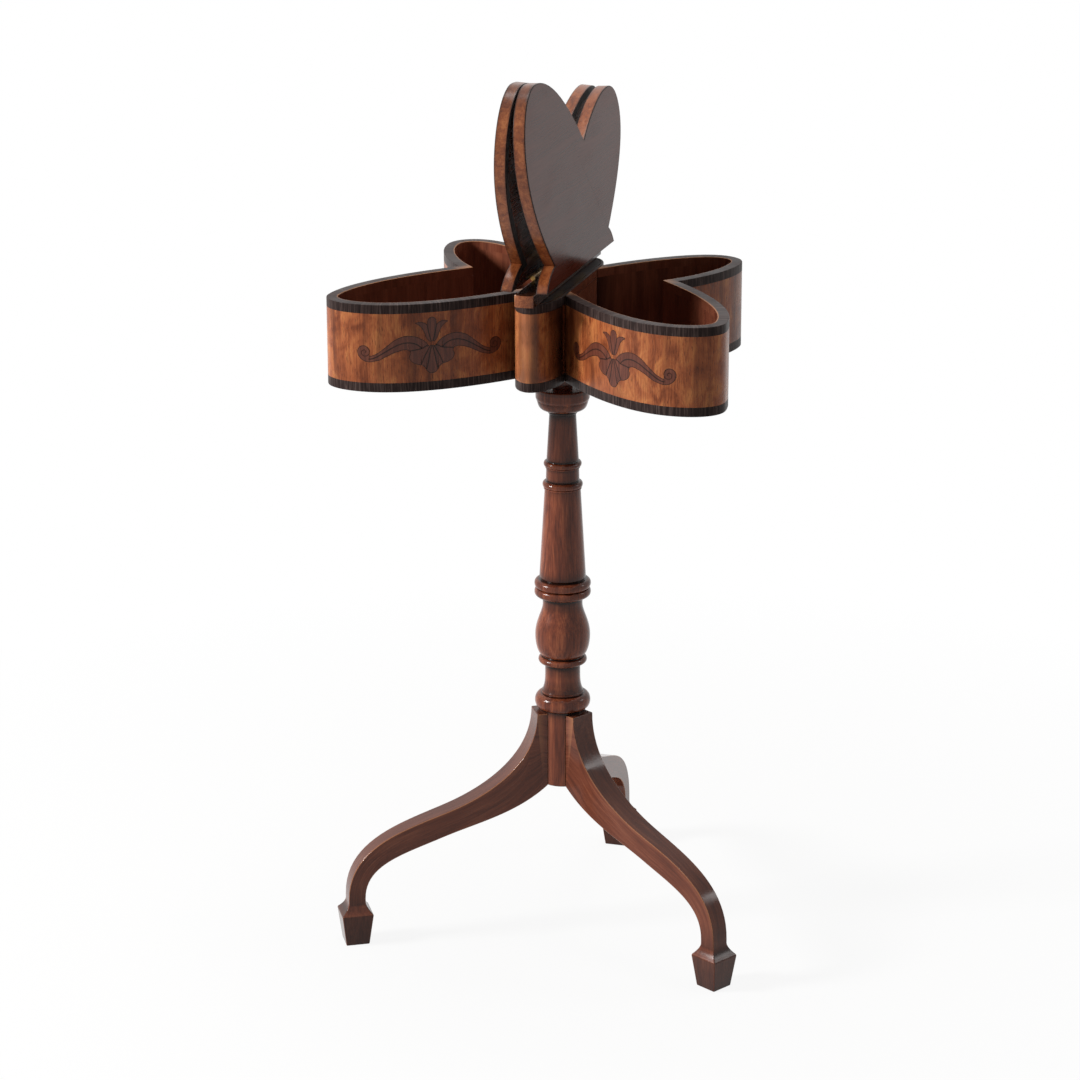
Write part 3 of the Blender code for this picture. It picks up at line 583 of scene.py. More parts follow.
def refinish(piece, index, test):
    """Faces that pass a test take another of the piece's materials."""
    for face in piece.data.polygons:
        if test(face):
            face.material_index = index


# %% [markdown]
# ## Curves
# Legs, wings and turnings are all drawn with the same cubic curve, as with a bent spline.

# %% A curve through two ends


def curve(p0, p1, p2, p3, steps):
    """Points of a cubic curve, both ends included."""
    points = []
    for k in range(steps + 1):
        t = k / steps
        s = 1 - t
        points.append(p0 * s**3 + p1 * (3 * s * s * t) + p2 * (3 * s * t * t) + p3 * t**3)
    return points


def swept(start, end, lead, trail, steps=10):
    """A profile curve: each handle is a share of the width and height between the ends."""
    start, end = Vector(start), Vector(end)
    reach = end - start
    out = start + Vector((reach.x * lead[0], reach.y * lead[1]))
    back = end - Vector((reach.x * trail[0], reach.y * trail[1]))
    return curve(start, out, back, end, steps)


def tangents(points):
    """Unit directions along an open run."""
    ends = points[:1] + points + points[-1:]
    return [(after - before).normalized() for before, after in zip(ends, ends[2:])]


# %% [markdown]
# ## The column
# The real column was turned on a lathe: beads, a vase and a tapered shaft over a plain hub. Here
# its outline is drawn point by point, by extruding a single corner, and spun round the axis.
# Spinning gives true rounds at once, where a stack of cylinders would need joining.

# %% Outline of the turning, from the hub's foot to the spigot


def bead(bottom, height, radius, below, above, steps=12):
    """A half-round bead, from the radius below it to the radius above it."""
    points = []
    for k in range(steps + 1):
        angle = math.pi * k / steps
        foot = below if k <= steps / 2 else above
        swell = math.sin(angle) ** 0.8 if 0 < k < steps else 0.0
        rise = height * (1 - math.cos(angle)) / 2
        points.append(Vector((foot + (radius - foot) * swell, bottom + rise)))
    return points


def turned(*points):
    """Corners of a fillet or groove, each a radius and a height."""
    return [Vector(p) for p in points]


HUB_RADIUS = 0.024
CUP_TOP = 0.5927
EVEN = (1 / 3, 1 / 3)
profile = [
    *turned((0.0, 0.163), (HUB_RADIUS - 0.0008, 0.163)),
    *swept((HUB_RADIUS, 0.1638), (HUB_RADIUS, 0.2448), EVEN, EVEN, 12),
    *bead(0.2455, 0.0158, 0.0291, 0.0232, 0.0224, 16),
    *turned((0.0217, 0.2618), (0.0222, 0.2624), (0.0224, 0.2632)),
    *turned((0.0222, 0.264), (0.0214, 0.2645)),
    *swept((0.0212, 0.2647), (0.0184, 0.288), (1.0, 0.3), (0.0, 0.5)),
    *turned((0.0184, 0.2926), (0.0196, 0.2932), (0.0198, 0.2944)),
    *bead(0.2948, 0.0076, 0.0254, 0.02, 0.0214),
    *turned((0.0209, 0.303)),
    *swept((0.022, 0.3038), (0.0287, 0.3262), (0.66, 0.12), (0.0, 0.45)),
    *swept((0.0287, 0.3262), (0.0207, 0.36), (0.0, 0.42), (0.0, 0.26), 14)[1:],
    *swept((0.0207, 0.36), (0.0222, 0.368), (0.0, 0.45), (0.75, 0.0), 6)[1:],
    *turned((0.0232, 0.3683)),
    *bead(0.3686, 0.009, 0.0294, 0.024, 0.0266),
    *turned((0.0262, 0.378)),
    *bead(0.3784, 0.0088, 0.0294, 0.0266, 0.024),
    *turned((0.023, 0.3876), (0.023, 0.3884)),
    *swept((0.0242, 0.3902), (0.0187, 0.4838), (0.34, 0.33), (0.33, 0.33), 16),
    *turned((0.0185, 0.4846), (0.0196, 0.4851), (0.0197, 0.4864)),
    *bead(0.4868, 0.0064, 0.0208, 0.0187, 0.0172),
    *turned((0.0168, 0.4937), (0.0169, 0.4946)),
    *swept((0.0173, 0.495), (0.017, 0.5068), EVEN, EVEN, 4),
    *turned((0.0168, 0.5072), (0.018, 0.5076), (0.0181, 0.5087)),
    *bead(0.509, 0.0058, 0.0196, 0.0174, 0.0163),
    *turned((0.016, 0.5153), (0.0161, 0.5162)),
    *swept((0.0166, 0.5166), (0.0138, 0.5648), EVEN, EVEN, 9),
    *bead(0.5655, 0.0031, 0.0154, 0.0137, 0.0144, 8),
    *swept((0.0147, 0.5689), (0.0262, 0.5782), (0.8, 0.05), (0.1, 0.6)),
    *turned((0.026, 0.5787), (0.0266, 0.579), (0.0268, 0.5797)),
    *swept((0.0267, 0.58), (0.0279, 0.5838), (0.5, 0.2), (0.0, 0.5), 8),
    *swept((0.0279, 0.5838), (0.0279, 0.5905), EVEN, EVEN, 5)[1:],
    *swept((0.0279, 0.5905), (0.0268, CUP_TOP), (0.0, 0.55), (0.5, 0.0), 5)[1:],
    *swept((0.0255, 0.5928), (0.0112, 0.593), EVEN, EVEN, 3),
    *swept((0.0105, 0.5936), (0.0105, 0.6187), EVEN, EVEN, 4),
    *turned((0.0, 0.6187)),
]
print("profile points", len(profile), "widest", max(p.x for p in profile))

# %% Spin the outline and cut flats for the legs
LEG_FLAT = 0.0187
LEG_WIDTH = 0.0284
LEG_TOP = 0.2430
LEG_ANGLES = {"front_left": 210.0, "front_right": 330.0, "rear": 90.0}
ROUND_STEPS = 96


def about_axis(angle):
    """From the origin to the column, turned by an angle in plan."""
    return Matrix.Translation(AXIS) @ Matrix.Rotation(math.radians(angle), 4, "Z")


clear_selection()
bpy.ops.mesh.primitive_plane_add(size=0.01)
column = begun("turned_column")
edit(column, "SELECT")
bpy.ops.mesh.merge(type="CENTER")
bpy.ops.transform.translate(value=AXIS + Vector((profile[0].x, 0.0, profile[0].y)))
for here, there in zip(profile, profile[1:]):
    extrude(there.x - here.x, 0.0, there.y - here.y)
bpy.ops.mesh.select_all(action="SELECT")
bpy.ops.mesh.spin(steps=ROUND_STEPS, angle=math.tau, center=AXIS, axis=(0.0, 0.0, 1.0))
tidy_skin(column)
flats = []
half = LEG_WIDTH / 2 + FIT
for angle in LEG_ANGLES.values():
    flat = block((LEG_FLAT, -half, 0.15), (0.03, half, LEG_TOP + FIT))
    flat.matrix_world = about_axis(angle) @ flat.matrix_world
    flats.append(flat)
cut(column, flats)
print("column", len(column.data.polygons), "faces")

# %% [markdown]
# Shade is painted into the grooves and wide hollows, and the beads are made a little darker. The
# outline itself says which is which: a point that lies inside the average of its neighbours is
# in a groove.

# %% Grain, painted shade and darker tone of the column
HUB_TOP = 0.2452
STEM_FOOT = 0.49
CORE = 0.008
NEAR, WIDE = 0.0045, 0.014
GROOVE_DEEP, HOLLOW_DEEP, BEAD_HIGH = 0.0028, 0.0075, 0.004
heights = nearest([(p.x, p.y, 0.0) for p in profile])


def hollow(point, reach):
    """How far a profile point lies inside the mean of the outline near it, in metres."""
    near = [p.x for p in profile if abs(p.y - point.y) < reach and p.x > CORE]
    return sum(near) / max(len(near), 1) - point.x


def clamp(value, top=1.0):
    """A number kept between zero and a top."""
    return min(max(value, 0.0), top)


grooves = [(hollow(p, NEAR), hollow(p, WIDE)) for p in profile]


def column_toning(co):
    """Painted shade in grooves, in wide hollows and where the legs meet the hub; darker round the
    beads, on the hub and on the upper stem.
    """
    radius = (co - AXIS).to_2d().length
    near, wide = grooves[heights.find((radius, co.z, 0.0))[1]]
    tone = -clamp(near / GROOVE_DEEP, 0.75) - clamp(wide / HOLLOW_DEEP, 0.5)
    tone -= 0.4 * clamp(-near / BEAD_HIGH)
    # Painted shade on the flats where the legs meet the hub; the rest of the hub a little darker.
    if co.z < HUB_TOP:
        tone = -0.85 if radius < HUB_RADIUS - 0.0004 else min(tone, -0.1)
    if co.z > STEM_FOOT:
        tone -= 0.12
    return max(tone, -0.08 if co.z > CUP_TOP - 0.001 else -0.92)


lay_grain(column, lambda co: Vector((co.z, co.x, co.y - AXIS.y)), column_toning)
dress(column, "stand", "polished_mahogany", [polished_mahogany], "column")

# %% [markdown]
# ## The legs
# Each leg is sawn from a board, so its sides are flat and its outline is a long S from the hub to
# the ankle, tapering in width. It ends in a spade foot: a square block, wider at the top, with a
# hollow shoulder. One leg is lofted through its sections along +X, eased, and copied twice.

# %% Side view of a leg
LEG_STEPS = 22
ANKLE_RADIUS = 0.2245
ANKLE_HEIGHT = 0.051
ANKLE_DEPTH = 0.018
ANKLE_WIDTH = 0.0205
KNEE = Vector((0.122, 0.1432))
UNDER_KNEE = Vector((0.1325, 0.1132))
SHOULDER = Vector((0.0305, LEG_TOP))
HEEL = Vector((LEG_FLAT + FIT, 0.163))
FALL = Vector((0.94, -0.34))
DROP = Vector((0.0, -1.0))
SPRING = Vector((0.75, -0.66))
TOP_HANDLES = (0.053, 0.045, 0.050, 0.062)
LOW_HANDLES = (0.045, 0.040, 0.046, 0.038)
FOOT_RADIUS = 0.225
FOOT_SHOULDER = 0.0345
FOOT_TOP = 0.0334
FOOT_BOTTOM = 0.0247


def leg_line(start, leave, knee, end, handles):
    """One edge of the side view, from the hub over the knee to the ankle."""
    first, second, third, fourth = handles
    run = curve(start, start + leave * first, knee - FALL * second, knee, LEG_STEPS)
    return run + curve(knee, knee + FALL * third, end - DROP * fourth, end, LEG_STEPS)[1:]


top_end = Vector((ANKLE_RADIUS + ANKLE_DEPTH / 2, ANKLE_HEIGHT))
low_end = Vector((ANKLE_RADIUS - ANKLE_DEPTH / 2, ANKLE_HEIGHT))
upper = leg_line(SHOULDER, DROP, KNEE, top_end, TOP_HANDLES)
lower = leg_line(HEEL, SPRING, UNDER_KNEE, low_end, LOW_HANDLES)
upper = [Vector((HEEL.x, LEG_TOP))] + upper
lower = [HEEL] + [lower[0].lerp(lower[1], 0.35)] + lower[1:]


def section(high, low, width):
    """The four corners of a leg where its side view has these two points."""
    corners = ((high, -1), (high, 1), (low, 1), (low, -1))
    return [Vector((p.x, way * width / 2, p.y)) for p, way in corners]


sections = []
for high, low in zip(upper, lower):
    share = clamp(((high.x + low.x) / 2 - LEG_FLAT) / (ANKLE_RADIUS - LEG_FLAT))
    sections.append(section(high, low, LEG_WIDTH + (ANKLE_WIDTH - LEG_WIDTH) * share))
print("leg sections", len(sections))

# %% Spade foot and the three legs
COLLAR = FOOT_SHOULDER + 0.0125
SHOULDER_STEPS = 6
LEG_EASE = 0.0010
HUB_SHADE = 0.016
ANKLE_SHADE = 0.02
FOOT_SHADE = 0.03
FLAT_SIDE = 0.92
ARRIS = 0.4
NEXT_BOARD = 0.37


def foot_section(middle, height, depth, width):
    """A level section of the ankle or the foot."""
    ends = [Vector((middle + way * depth / 2, height)) for way in (1, -1)]
    return section(*ends, width)


for k in range(SHOULDER_STEPS + 1):
    t = k / SHOULDER_STEPS
    swell = t**1.7
    middle = ANKLE_RADIUS + (FOOT_RADIUS - ANKLE_RADIUS) * swell
    depth = ANKLE_DEPTH + (FOOT_TOP - ANKLE_DEPTH) * swell
    width = ANKLE_WIDTH + (FOOT_TOP - ANKLE_WIDTH) * swell
    sections.append(foot_section(middle, COLLAR + (FOOT_SHOULDER - COLLAR) * t, depth, width))
sections.append(foot_section(FOOT_RADIUS, 0.0, FOOT_BOTTOM, FOOT_BOTTOM))
pattern = loft("leg_pattern", sections)
ease(pattern, LEG_EASE, 24.0, 3)

centre_line = [(high + low) / 2 for high, low in zip(upper, lower)]
centre_line += [Vector((FOOT_RADIUS, 0.03)), Vector((FOOT_RADIUS, 0.0))]
lengths = [0.0]
for here, there in zip(centre_line, centre_line[1:]):
    lengths.append(lengths[-1] + (there - here).length)
directions = tangents(centre_line)
stations = nearest([(p.x, 0.0, p.y) for p in centre_line])


def leg_grain(co, seed):
    """Along the leg's own line, up from it, and across its width."""
    i = stations.find((co.x, 0.0, co.z))[1]
    along = directions[i]
    rest = Vector((co.x, co.z)) - centre_line[i]
    up = rest.x * -along.y + rest.y * along.x
    return Vector((lengths[i] + rest.dot(along) + seed, up, co.y + seed))


def leg_toning(co):
    """Painted shade towards the hub and in the hollow shoulder of the foot; darker on the foot and
    towards its bottom. Faces and eased edges are told apart afterwards.
    """
    hub = math.exp(-max(co.x - HEEL.x, 0.0) / HUB_SHADE)
    foot = clamp((ANKLE_HEIGHT + ANKLE_SHADE - co.z) / FOOT_SHADE)
    recess = max(1 - abs(2 * (co.z - FOOT_SHOULDER) / (COLLAR - FOOT_SHOULDER) - 0.9), 0.0)
    toe = max(1 - co.z / FOOT_SHOULDER, 0.0)
    return -0.12 * hub - 0.46 * foot - 0.4 * recess - 0.22 * toe


for seed, (place, angle) in enumerate(LEG_ANGLES.items()):
    leg = copied("shaped_leg_" + place, pattern.data)
    lay_grain(leg, lambda co: leg_grain(co, NEXT_BOARD * (seed + 1)), leg_toning)
    # The eased edges get a painted highlight, and the top and under faces get painted shade.
    painted_light_and_tone = leg.data.attributes["painted_light_and_tone"].data
    for corner in leg.data.vertices:
        aside = abs(corner.normal.y)
        if aside < FLAT_SIDE and (aside > ARRIS or corner.co.z > ANKLE_HEIGHT):
            painted_light_and_tone[corner.index].value += 0.6 if aside > ARRIS else -0.25
    leg.data.transform(about_axis(angle))
    dress(leg, "stand", "polished_mahogany", [leg_mahogany_painted_sheen], "leg_" + place)
bpy.data.objects.remove(pattern)

# %% [markdown]
# ## The wings
# In plan each wing is two lobes that meet at a sharp notch, like the wing of a butterfly. The
# outline runs through a few measured points, and everything in the box follows it: the veneered
# wall, the dark strips at its rim and base, the bottom board and, further out, the lid.

# %% Outline of a wing in plan
SPAN_STEPS = 24
BODY_HALF_WIDTH = 0.0235
FRONT_ROOT = -0.073
REAR_ROOT = 0.063
NOTCH = Vector((0.116, 0.017))
ROOT_X = BODY_HALF_WIDTH + FIT
FRONT_KNOTS = [(ROOT_X, FRONT_ROOT), (0.158, -0.165), (0.2032, -0.133), NOTCH]
FRONT_LEADS = [(0.27, 0.49), (0.61, 0.0), (0.0, 0.27)]
FRONT_TRAILS = [(0.36, 0.0), (0.0, 0.59), (0.65, 0.37)]
REAR_KNOTS = [NOTCH, (0.1585, 0.112), (0.128, 0.141), (ROOT_X, REAR_ROOT)]
REAR_LEADS = [(0.49, 0.25), (0.0, 0.59), (0.32, 0.0)]
REAR_TRAILS = [(0.0, 0.36), (0.59, 0.0), (0.21, 0.37)]


def lobe(knots, leads, trails):
    """A smooth run through its knots, each of its handles a share of the way between two."""
    run = [Vector(knots[0])]
    for start, end, lead, trail in zip(knots, knots[1:], leads, trails):
        run += swept(start, end, lead, trail, SPAN_STEPS)[1:]
    return run


def shifted(points, distance):
    """A run moved sideways, to the right of its travel when positive."""
    return [p + Vector((t.y, -t.x)) * distance for p, t in zip(points, tangents(points))]


def cross(a, b):
    """How far one plan direction turns from another."""
    return a.x * b.y - a.y * b.x


def lines_meet(point, along, other, other_along):
    """Where two straight lines cross."""
    return point + along * (cross(other - point, other_along) / cross(along, other_along))


front_lobe = lobe(FRONT_KNOTS, FRONT_LEADS, FRONT_TRAILS)
rear_lobe = lobe(REAR_KNOTS, REAR_LEADS, REAR_TRAILS)


def wing_path(inset):
    """The wing's outline moved inwards, from the spine's front flank round to its rear flank."""
    front, rear = shifted(front_lobe, -inset), shifted(rear_lobe, -inset)
    front_along, rear_along = tangents(front_lobe), tangents(rear_lobe)
    notch = lines_meet(front[-1], front_along[-1], rear[0], rear_along[0])
    flank = Vector((ROOT_X, 0.0)), Vector((0.0, 1.0))
    start = lines_meet(front[0], front_along[0], *flank)
    end = lines_meet(rear[-1], rear_along[-1], *flank)
    return [start] + front[1:-1] + [notch] + rear[1:-1] + [end]


def placed(points, side):
    """Plan points carried to the left or right of the column's axis."""
    return [Vector((p.x * side, p.y + AXIS.y)) for p in points]


wing_outline = wing_path(0.0)
wing_length = sum((b - a).length for a, b in zip(wing_outline, wing_outline[1:]))
print("wing outline", len(wing_outline), "points", round(wing_length, 3), "m")

# %% A ruler along an outline


def ruler(run, step=0.0002):
    """Reads a corner against a run in plan: arc length at the nearest point, and the gap to it."""
    marks, total = [], 0.0
    for here, there in zip(run, run[1:]):
        length = (there - here).length
        count = max(1, round(length / step))
        marks += [(here.lerp(there, k / count), total + length * k / count) for k in range(count)]
        total += length
    marks.append((run[-1], total))
    tree = nearest([(point.x, point.y, 0.0) for point, distance in marks])

    def read(co):
        spot, i, gap = tree.find((abs(co.x), co.y - AXIS.y, 0.0))
        return marks[i][1], gap

    return read


wall_ruler = ruler(wing_outline)


def wall_distance(co):
    """Arc length along the wing's outline."""
    return wall_ruler(co)[0]


def wall_depth(co):
    """How far inside the outline a corner lies."""
    return wall_ruler(co)[1]


notch_distance = wall_distance(Vector((NOTCH.x, NOTCH.y + AXIS.y, 0.0)))
print("halfway round the notch", round(notch_distance, 3), "m")

# %% Walls with veneer outside and stained wood inside
BASE_Z = 0.619
RIM_HEIGHT = 0.7075
RIM_BAND = 0.009
BASE_BAND = 0.0095
WALL = 0.0115
WALL_FOOT = BASE_Z + BASE_BAND
WALL_TOP = RIM_HEIGHT - RIM_BAND
INSIDE = WALL * 0.75
CORNER_SHADE = 0.006
NOTCH_SHADE = 0.01


def wall_grain(co):
    """Upright, along the outline and inwards, with a different piece of wood on each wing."""
    return Vector((co.z, wall_distance(co) + 0.9 * (side + 1), wall_depth(co)))


def wall_toning(co):
    """Painted shade in the corners beside the spine, and a little darker outside on the rear lobe.
    """
    along = wall_distance(co)
    corner = math.exp(-min(along, wing_length - along) / CORNER_SHADE)
    rear = clamp((along - notch_distance) / NOTCH_SHADE) if wall_depth(co) < WALL / 2 else 0.0
    return -max(0.85 * corner, 0.24 * rear)


def wing_strip(name, side, depths, bottom, height):
    """A strip along one wing, with a row of corners at each depth inside the outline."""
    return strip(name, [placed(wing_path(depth), side) for depth in depths], bottom, height)


def inner(face):
    """Whether a face looks into the box."""
    return abs(face.normal.z) < 0.3 and wall_depth(face.center) > INSIDE


for name, side in SIDES.items():
    wall = wing_strip(name + "_veneered_wall", side, (0.0, WALL), WALL_FOOT, WALL_TOP - WALL_FOOT)
    lay_grain(wall, wall_grain, wall_toning)
    dress(wall, "stand", "mahogany_veneer", [mahogany_veneer, stained_lining], name + "_wing_wall")
    refinish(wall, 1, lambda face: wall_depth(face.center) > INSIDE)

# %% Rosewood strips at the rim and the base
BOARD_LAP = 0.0055
BOARD_LEDGE = 0.0032
RIM_ARRIS = 0.0014
RIM_EASE = 0.0007
BASE_EASE = 0.0006
TOUCH = 1e-5


def strip_grain(co):
    """Across the strip, with a different piece of wood on each wing."""
    return Vector((co.z - wall_depth(co), wall_distance(co) + 0.3 * (side + 1), 0.0))


def rim_toning(co):
    """A painted highlight along the inner arris of the rim."""
    return 0.8 if wall_depth(co) > WALL - 0.0008 and co.z > RIM_HEIGHT - 0.0005 else 0.0


for name, side in SIDES.items():
    rim = wing_strip(name + "_rim_strip", side, (0.0, WALL - RIM_ARRIS, WALL), WALL_TOP, RIM_BAND)
    ease(rim, RIM_EASE, 45.0, 2, lambda edge: max(v.co.z for v in edge.verts) > RIM_HEIGHT - TOUCH)
    lay_grain(rim, strip_grain, rim_toning)
    dress(rim, "stand", "rosewood", [rosewood, stained_lining], name + "_rim_lipping")
    refinish(rim, 1, inner)
    lap = WALL - BOARD_LAP
    base = wing_strip(name + "_base_strip", side, (0.0, lap, WALL), BASE_Z, BOARD_LEDGE)
    edit(base)
    pick(base, "FACE", lambda f: f.normal.z > FACING and wall_depth(f.calc_center_median()) < lap)
    extrude(0.0, 0.0, BASE_BAND - BOARD_LEDGE)
    tidy_skin(base)
    ease(base, BASE_EASE, 45.0, 2, lambda edge: max(v.co.z for v in edge.verts) < BASE_Z + TOUCH)
    lay_grain(base, strip_grain)
    dress(base, "stand", "rosewood", [rosewood], name + "_base_lipping")

# %% Bottom boards
BOARD_THICKNESS = 0.006


def slab(name, line, bottom, top):
    """A flat board with this outline."""
    return loft(name, [[Vector((p.x, p.y, z)) for p in line] for z in (bottom, top)])


for name, side in SIDES.items():
    line = placed(wing_path(WALL - BOARD_LAP + FIT), side)
    bottom = BASE_Z + BOARD_LEDGE + FIT
    board = slab(name + "_floor_board", line, bottom, bottom + BOARD_THICKNESS)
    lay_grain(board, lambda co: Vector((co.y, co.x, co.z + 0.2 * side)))
    dress(board, "stand", "stained_lining", [stained_lining], name + "_bottom_board")

# %% [markdown]
# ## Marquetry
# The front lobe of each wing carries an inlay of dark wood: a tulip over a shell, with an arm to
# each side that ends in a scroll. Marquetry is cut as flat shapes and pressed into the veneer, so
# it is drawn flat here too. Each shape is a filled outline, and an inset gives it the dark burnt
# edge that hot sand leaves. The sheet is then sliced into narrow upright strips, so that it can
# bend, and laid on the wall. A picture pasted on the wall would be quicker, but would be no shape.

# %% Shapes of one half, in millimetres from the middle line and from the floor
TULIP_HEART = [
    (0, 694), (2.6, 693), (4.4, 690.8), (4.7, 686.5), (3.9, 681), (2.4, 674.5), (0.9, 669.6),
    (0, 668.9),
]
TULIP_PETAL = [
    (4.8, 686.6), (8.5, 688.7), (12.5, 689.6), (17, 688.4), (13.4, 686.2), (10.2, 682.9),
    (7.9, 678.6), (6.1, 673.9), (4, 670.4), (0.9, 669.2), (2.4, 674.5), (3.9, 681),
]
ARM_TOP = [
    (3.6, 665.2), (6, 668.4), (9.4, 671.3), (14.6, 674.1), (20, 675.6), (26.5, 676), (33, 674.4),
    (38.5, 671.5), (43.5, 667.6), (49, 663.2), (54, 659.4), (59.5, 656.6), (63, 655.3),
]
ARM_LINE = [
    (10.5, 662.5), (13.6, 665.6), (18, 667.9), (22.6, 668.9), (27.6, 668.9), (33.4, 667.4),
    (39, 664.8), (44.5, 661.6), (50, 658.3), (55.5, 655), (60, 653.2), (63.6, 652.6),
]
ARM_FOOT = [
    (22.6, 660.6), (25.2, 661.8), (28.5, 661.9), (34, 660.6), (40, 658.4), (46, 655.3),
    (52.5, 652), (58, 650.4), (62, 649.6),
]
SCROLL = [
    (62, 649.6), (67, 650.2), (71.5, 652.7), (74.3, 656.6), (75, 660.6), (73.2, 664.4),
    (69.5, 666.4), (65.3, 665.7), (62.7, 662.3), (62.5, 658.9), (64.4, 656.2), (67.6, 655.4),
    (70.4, 657.2), (70.7, 660.2), (68.6, 662.1), (66.3, 661.4), (65.9, 659.6), (67.2, 658.6),
]
SHELL_SIDE = [
    (22.6, 660.6), (22, 658), (23.2, 655), (22.3, 651.2), (19.3, 648.3), (15, 646.4),
    (11.4, 645.9),
]
SHELL_MIDDLE = [(11.4, 645.9), (8.6, 644.2), (6, 640.5)]
SHELL_HEART = [(6, 640.5), (3.4, 637.5), (0, 636.7)]
SCROLL_EYE = Vector((68.0, 659.4))
LINE_WIDTH = 0.5


def smooth_run(points, steps=4):
    """A smooth line through measured points."""
    points = [Vector(p) for p in points]
    ends = [points[0] * 2 - points[1]] + points + [points[-1] * 2 - points[-2]]
    run = [points[0]]
    for before, here, there, after in zip(ends, ends[1:], ends[2:], ends[3:]):
        lead, trail = (there - before) / 6, (after - here) / 6
        run += curve(here, here + lead, there - trail, there, steps)[1:]
    return run


def mirrored(points):
    """The same points on the other side of the middle line."""
    return [Vector((-p.x, p.y)) for p in points]


def scroll_line():
    """The burnt line that winds inside the scroll to its eye."""
    line = smooth_run(SCROLL[7:], 5)
    return line + [p + (SCROLL_EYE - p).normalized() * LINE_WIDTH for p in line][::-1]


arm_top, arm_line, arm_foot = smooth_run(ARM_TOP), smooth_run(ARM_LINE), smooth_run(ARM_FOOT)
shell_side, shell_middle = smooth_run(SHELL_SIDE), smooth_run(SHELL_MIDDLE)
heart_edge = smooth_run([(6, 640.5), (4.2, 648), (2.4, 657), (0.4, 665.5)])
middle_edge = smooth_run([(11.4, 645.9), (8.6, 652.5), (5.0, 659.5), (1.9, 664.8)])
side_edge = smooth_run([(22.6, 660.6), (16, 661.6), (10.5, 662.5), (6.6, 664.6), (3.6, 665.2)])
half_shapes = [
    smooth_run(TULIP_PETAL + TULIP_PETAL[:1])[:-1],
    arm_top + arm_line[::-1] + side_edge[8:],
    arm_line + arm_foot[::-1] + side_edge[:9],
    smooth_run(SCROLL[:9] + [(62.5, 655.4)])[:-1],
    shell_side + middle_edge + side_edge[::-1],
    shell_middle[::-1] + middle_edge[1:] + heart_edge[::-1],
]
heart = smooth_run(TULIP_HEART)
bud = smooth_run(SHELL_HEART)[::-1] + heart_edge[1:]
whole_shapes = [heart + mirrored(heart[-2:0:-1]), bud + mirrored(bud[-1:0:-1])]
print("shapes", len(half_shapes) * 2 + len(whole_shapes))

# %% Cut the shapes, burn their edges and lay them on the walls
INLAY_MIDDLE = 0.0966
BURNT_EDGE = 0.0006
PROUD = 0.00012
INLAY_DEPTH = 0.0006
SLICE = 0.003
SLICES = 25
LINE_PROUD = 0.00004


def flat_shape(points, out=0.0):
    """One filled outline, standing a little out of the plane y = 0, with a burnt edge."""
    shape = ring("inlay_shape", [(p.x / 1000, out, p.y / 1000) for p in points])
    shape.data.materials.append(sand_shaded_walnut)
    shape.data.materials.append(burnt_walnut)
    shape.data.polygons[0].material_index = 1
    edit(shape, "SELECT")
    bpy.ops.mesh.inset(thickness=BURNT_EDGE, use_even_offset=False)
    shape.active_material_index = 0
    bpy.ops.object.material_slot_assign()
    bpy.ops.object.mode_set(mode="OBJECT")
    return shape


def on_wall(flat, side):
    """A flat point laid on the wall: along it from the inlay's middle, and out from its face."""
    left = INLAY_MIDDLE + flat.x
    for here, there in zip(wing_outline, wing_outline[1:]):
        if left <= (there - here).length:
            break
        left -= (there - here).length
    along = (there - here).normalized()
    spot = here + along * left + Vector((along.y, -along.x)) * flat.y
    return Vector((spot.x * side, spot.y + AXIS.y, flat.z))


for name, side in SIDES.items():
    shapes = [flat_shape(points) for points in whole_shapes]
    for points in half_shapes:
        shapes += [flat_shape(points), flat_shape(mirrored(points))]
    shapes += [flat_shape(line, LINE_PROUD) for line in (scroll_line(), mirrored(scroll_line()))]
    clear_selection()
    for shape in shapes:
        shape.select_set(True)
    inlay = bpy.context.view_layer.objects.active = shapes[0]
    bpy.ops.object.join()
    inlay.name = inlay.data.name = name + "_wing_marquetry"
    edit(inlay, "SELECT")
    bpy.ops.mesh.remove_doubles(threshold=SAME)
    for k in range(-SLICES, SLICES + 1):
        bpy.ops.mesh.select_all(action="SELECT")
        bpy.ops.mesh.bisect(plane_co=(k * SLICE, 0.0, 0.0), plane_no=(1.0, 0.0, 0.0))
    bpy.ops.mesh.select_all(action="SELECT")
    bpy.ops.transform.translate(value=(0.0, PROUD, 0.0))
    extrude(0.0, -INLAY_DEPTH, 0.0)
    bpy.ops.object.mode_set(mode="OBJECT")
    lay_grain(inlay, lambda co: Vector((co.z, co.x + 0.4 * side, 0.0)))
    for corner in inlay.data.vertices:
        corner.co = on_wall(corner.co, side)
    tidy_skin(inlay)
    dress(inlay, "stand", "rosewood", [])

# %% [markdown]
# ## The spine
# Between the wings stands a narrow oval body, rounded at both ends like the prow of a boat. It is
# veneered, with a rosewood band let in at the rim and the base. A fixed strip on top, the cap,
# carries the hinges and is shaped to overhang like the lids.

# %% Oval of the spine
FRONT_PROW = 0.050
REAR_PROW = 0.033
BODY_BAND = 0.003
PROW_STEPS = 22


def prow(root, length, grow):
    """Half of one oval end, from its flank to the middle, grown outwards."""
    points = []
    for k in range(PROW_STEPS + 1):
        angle = math.pi / 2 * k / PROW_STEPS
        normal = Vector((math.cos(angle) / BODY_HALF_WIDTH, math.sin(angle) / length)).normalized()
        x = BODY_HALF_WIDTH * math.cos(angle) + normal.x * grow
        y = length * math.sin(angle) + normal.y * grow
        points.append(Vector((x, root + math.copysign(y, root))))
    return points


def half_oval(grow):
    """The right half of the spine's outline, grown outwards, from front to rear."""
    return prow(FRONT_ROOT, FRONT_PROW, grow)[::-1] + prow(REAR_ROOT, REAR_PROW, grow)


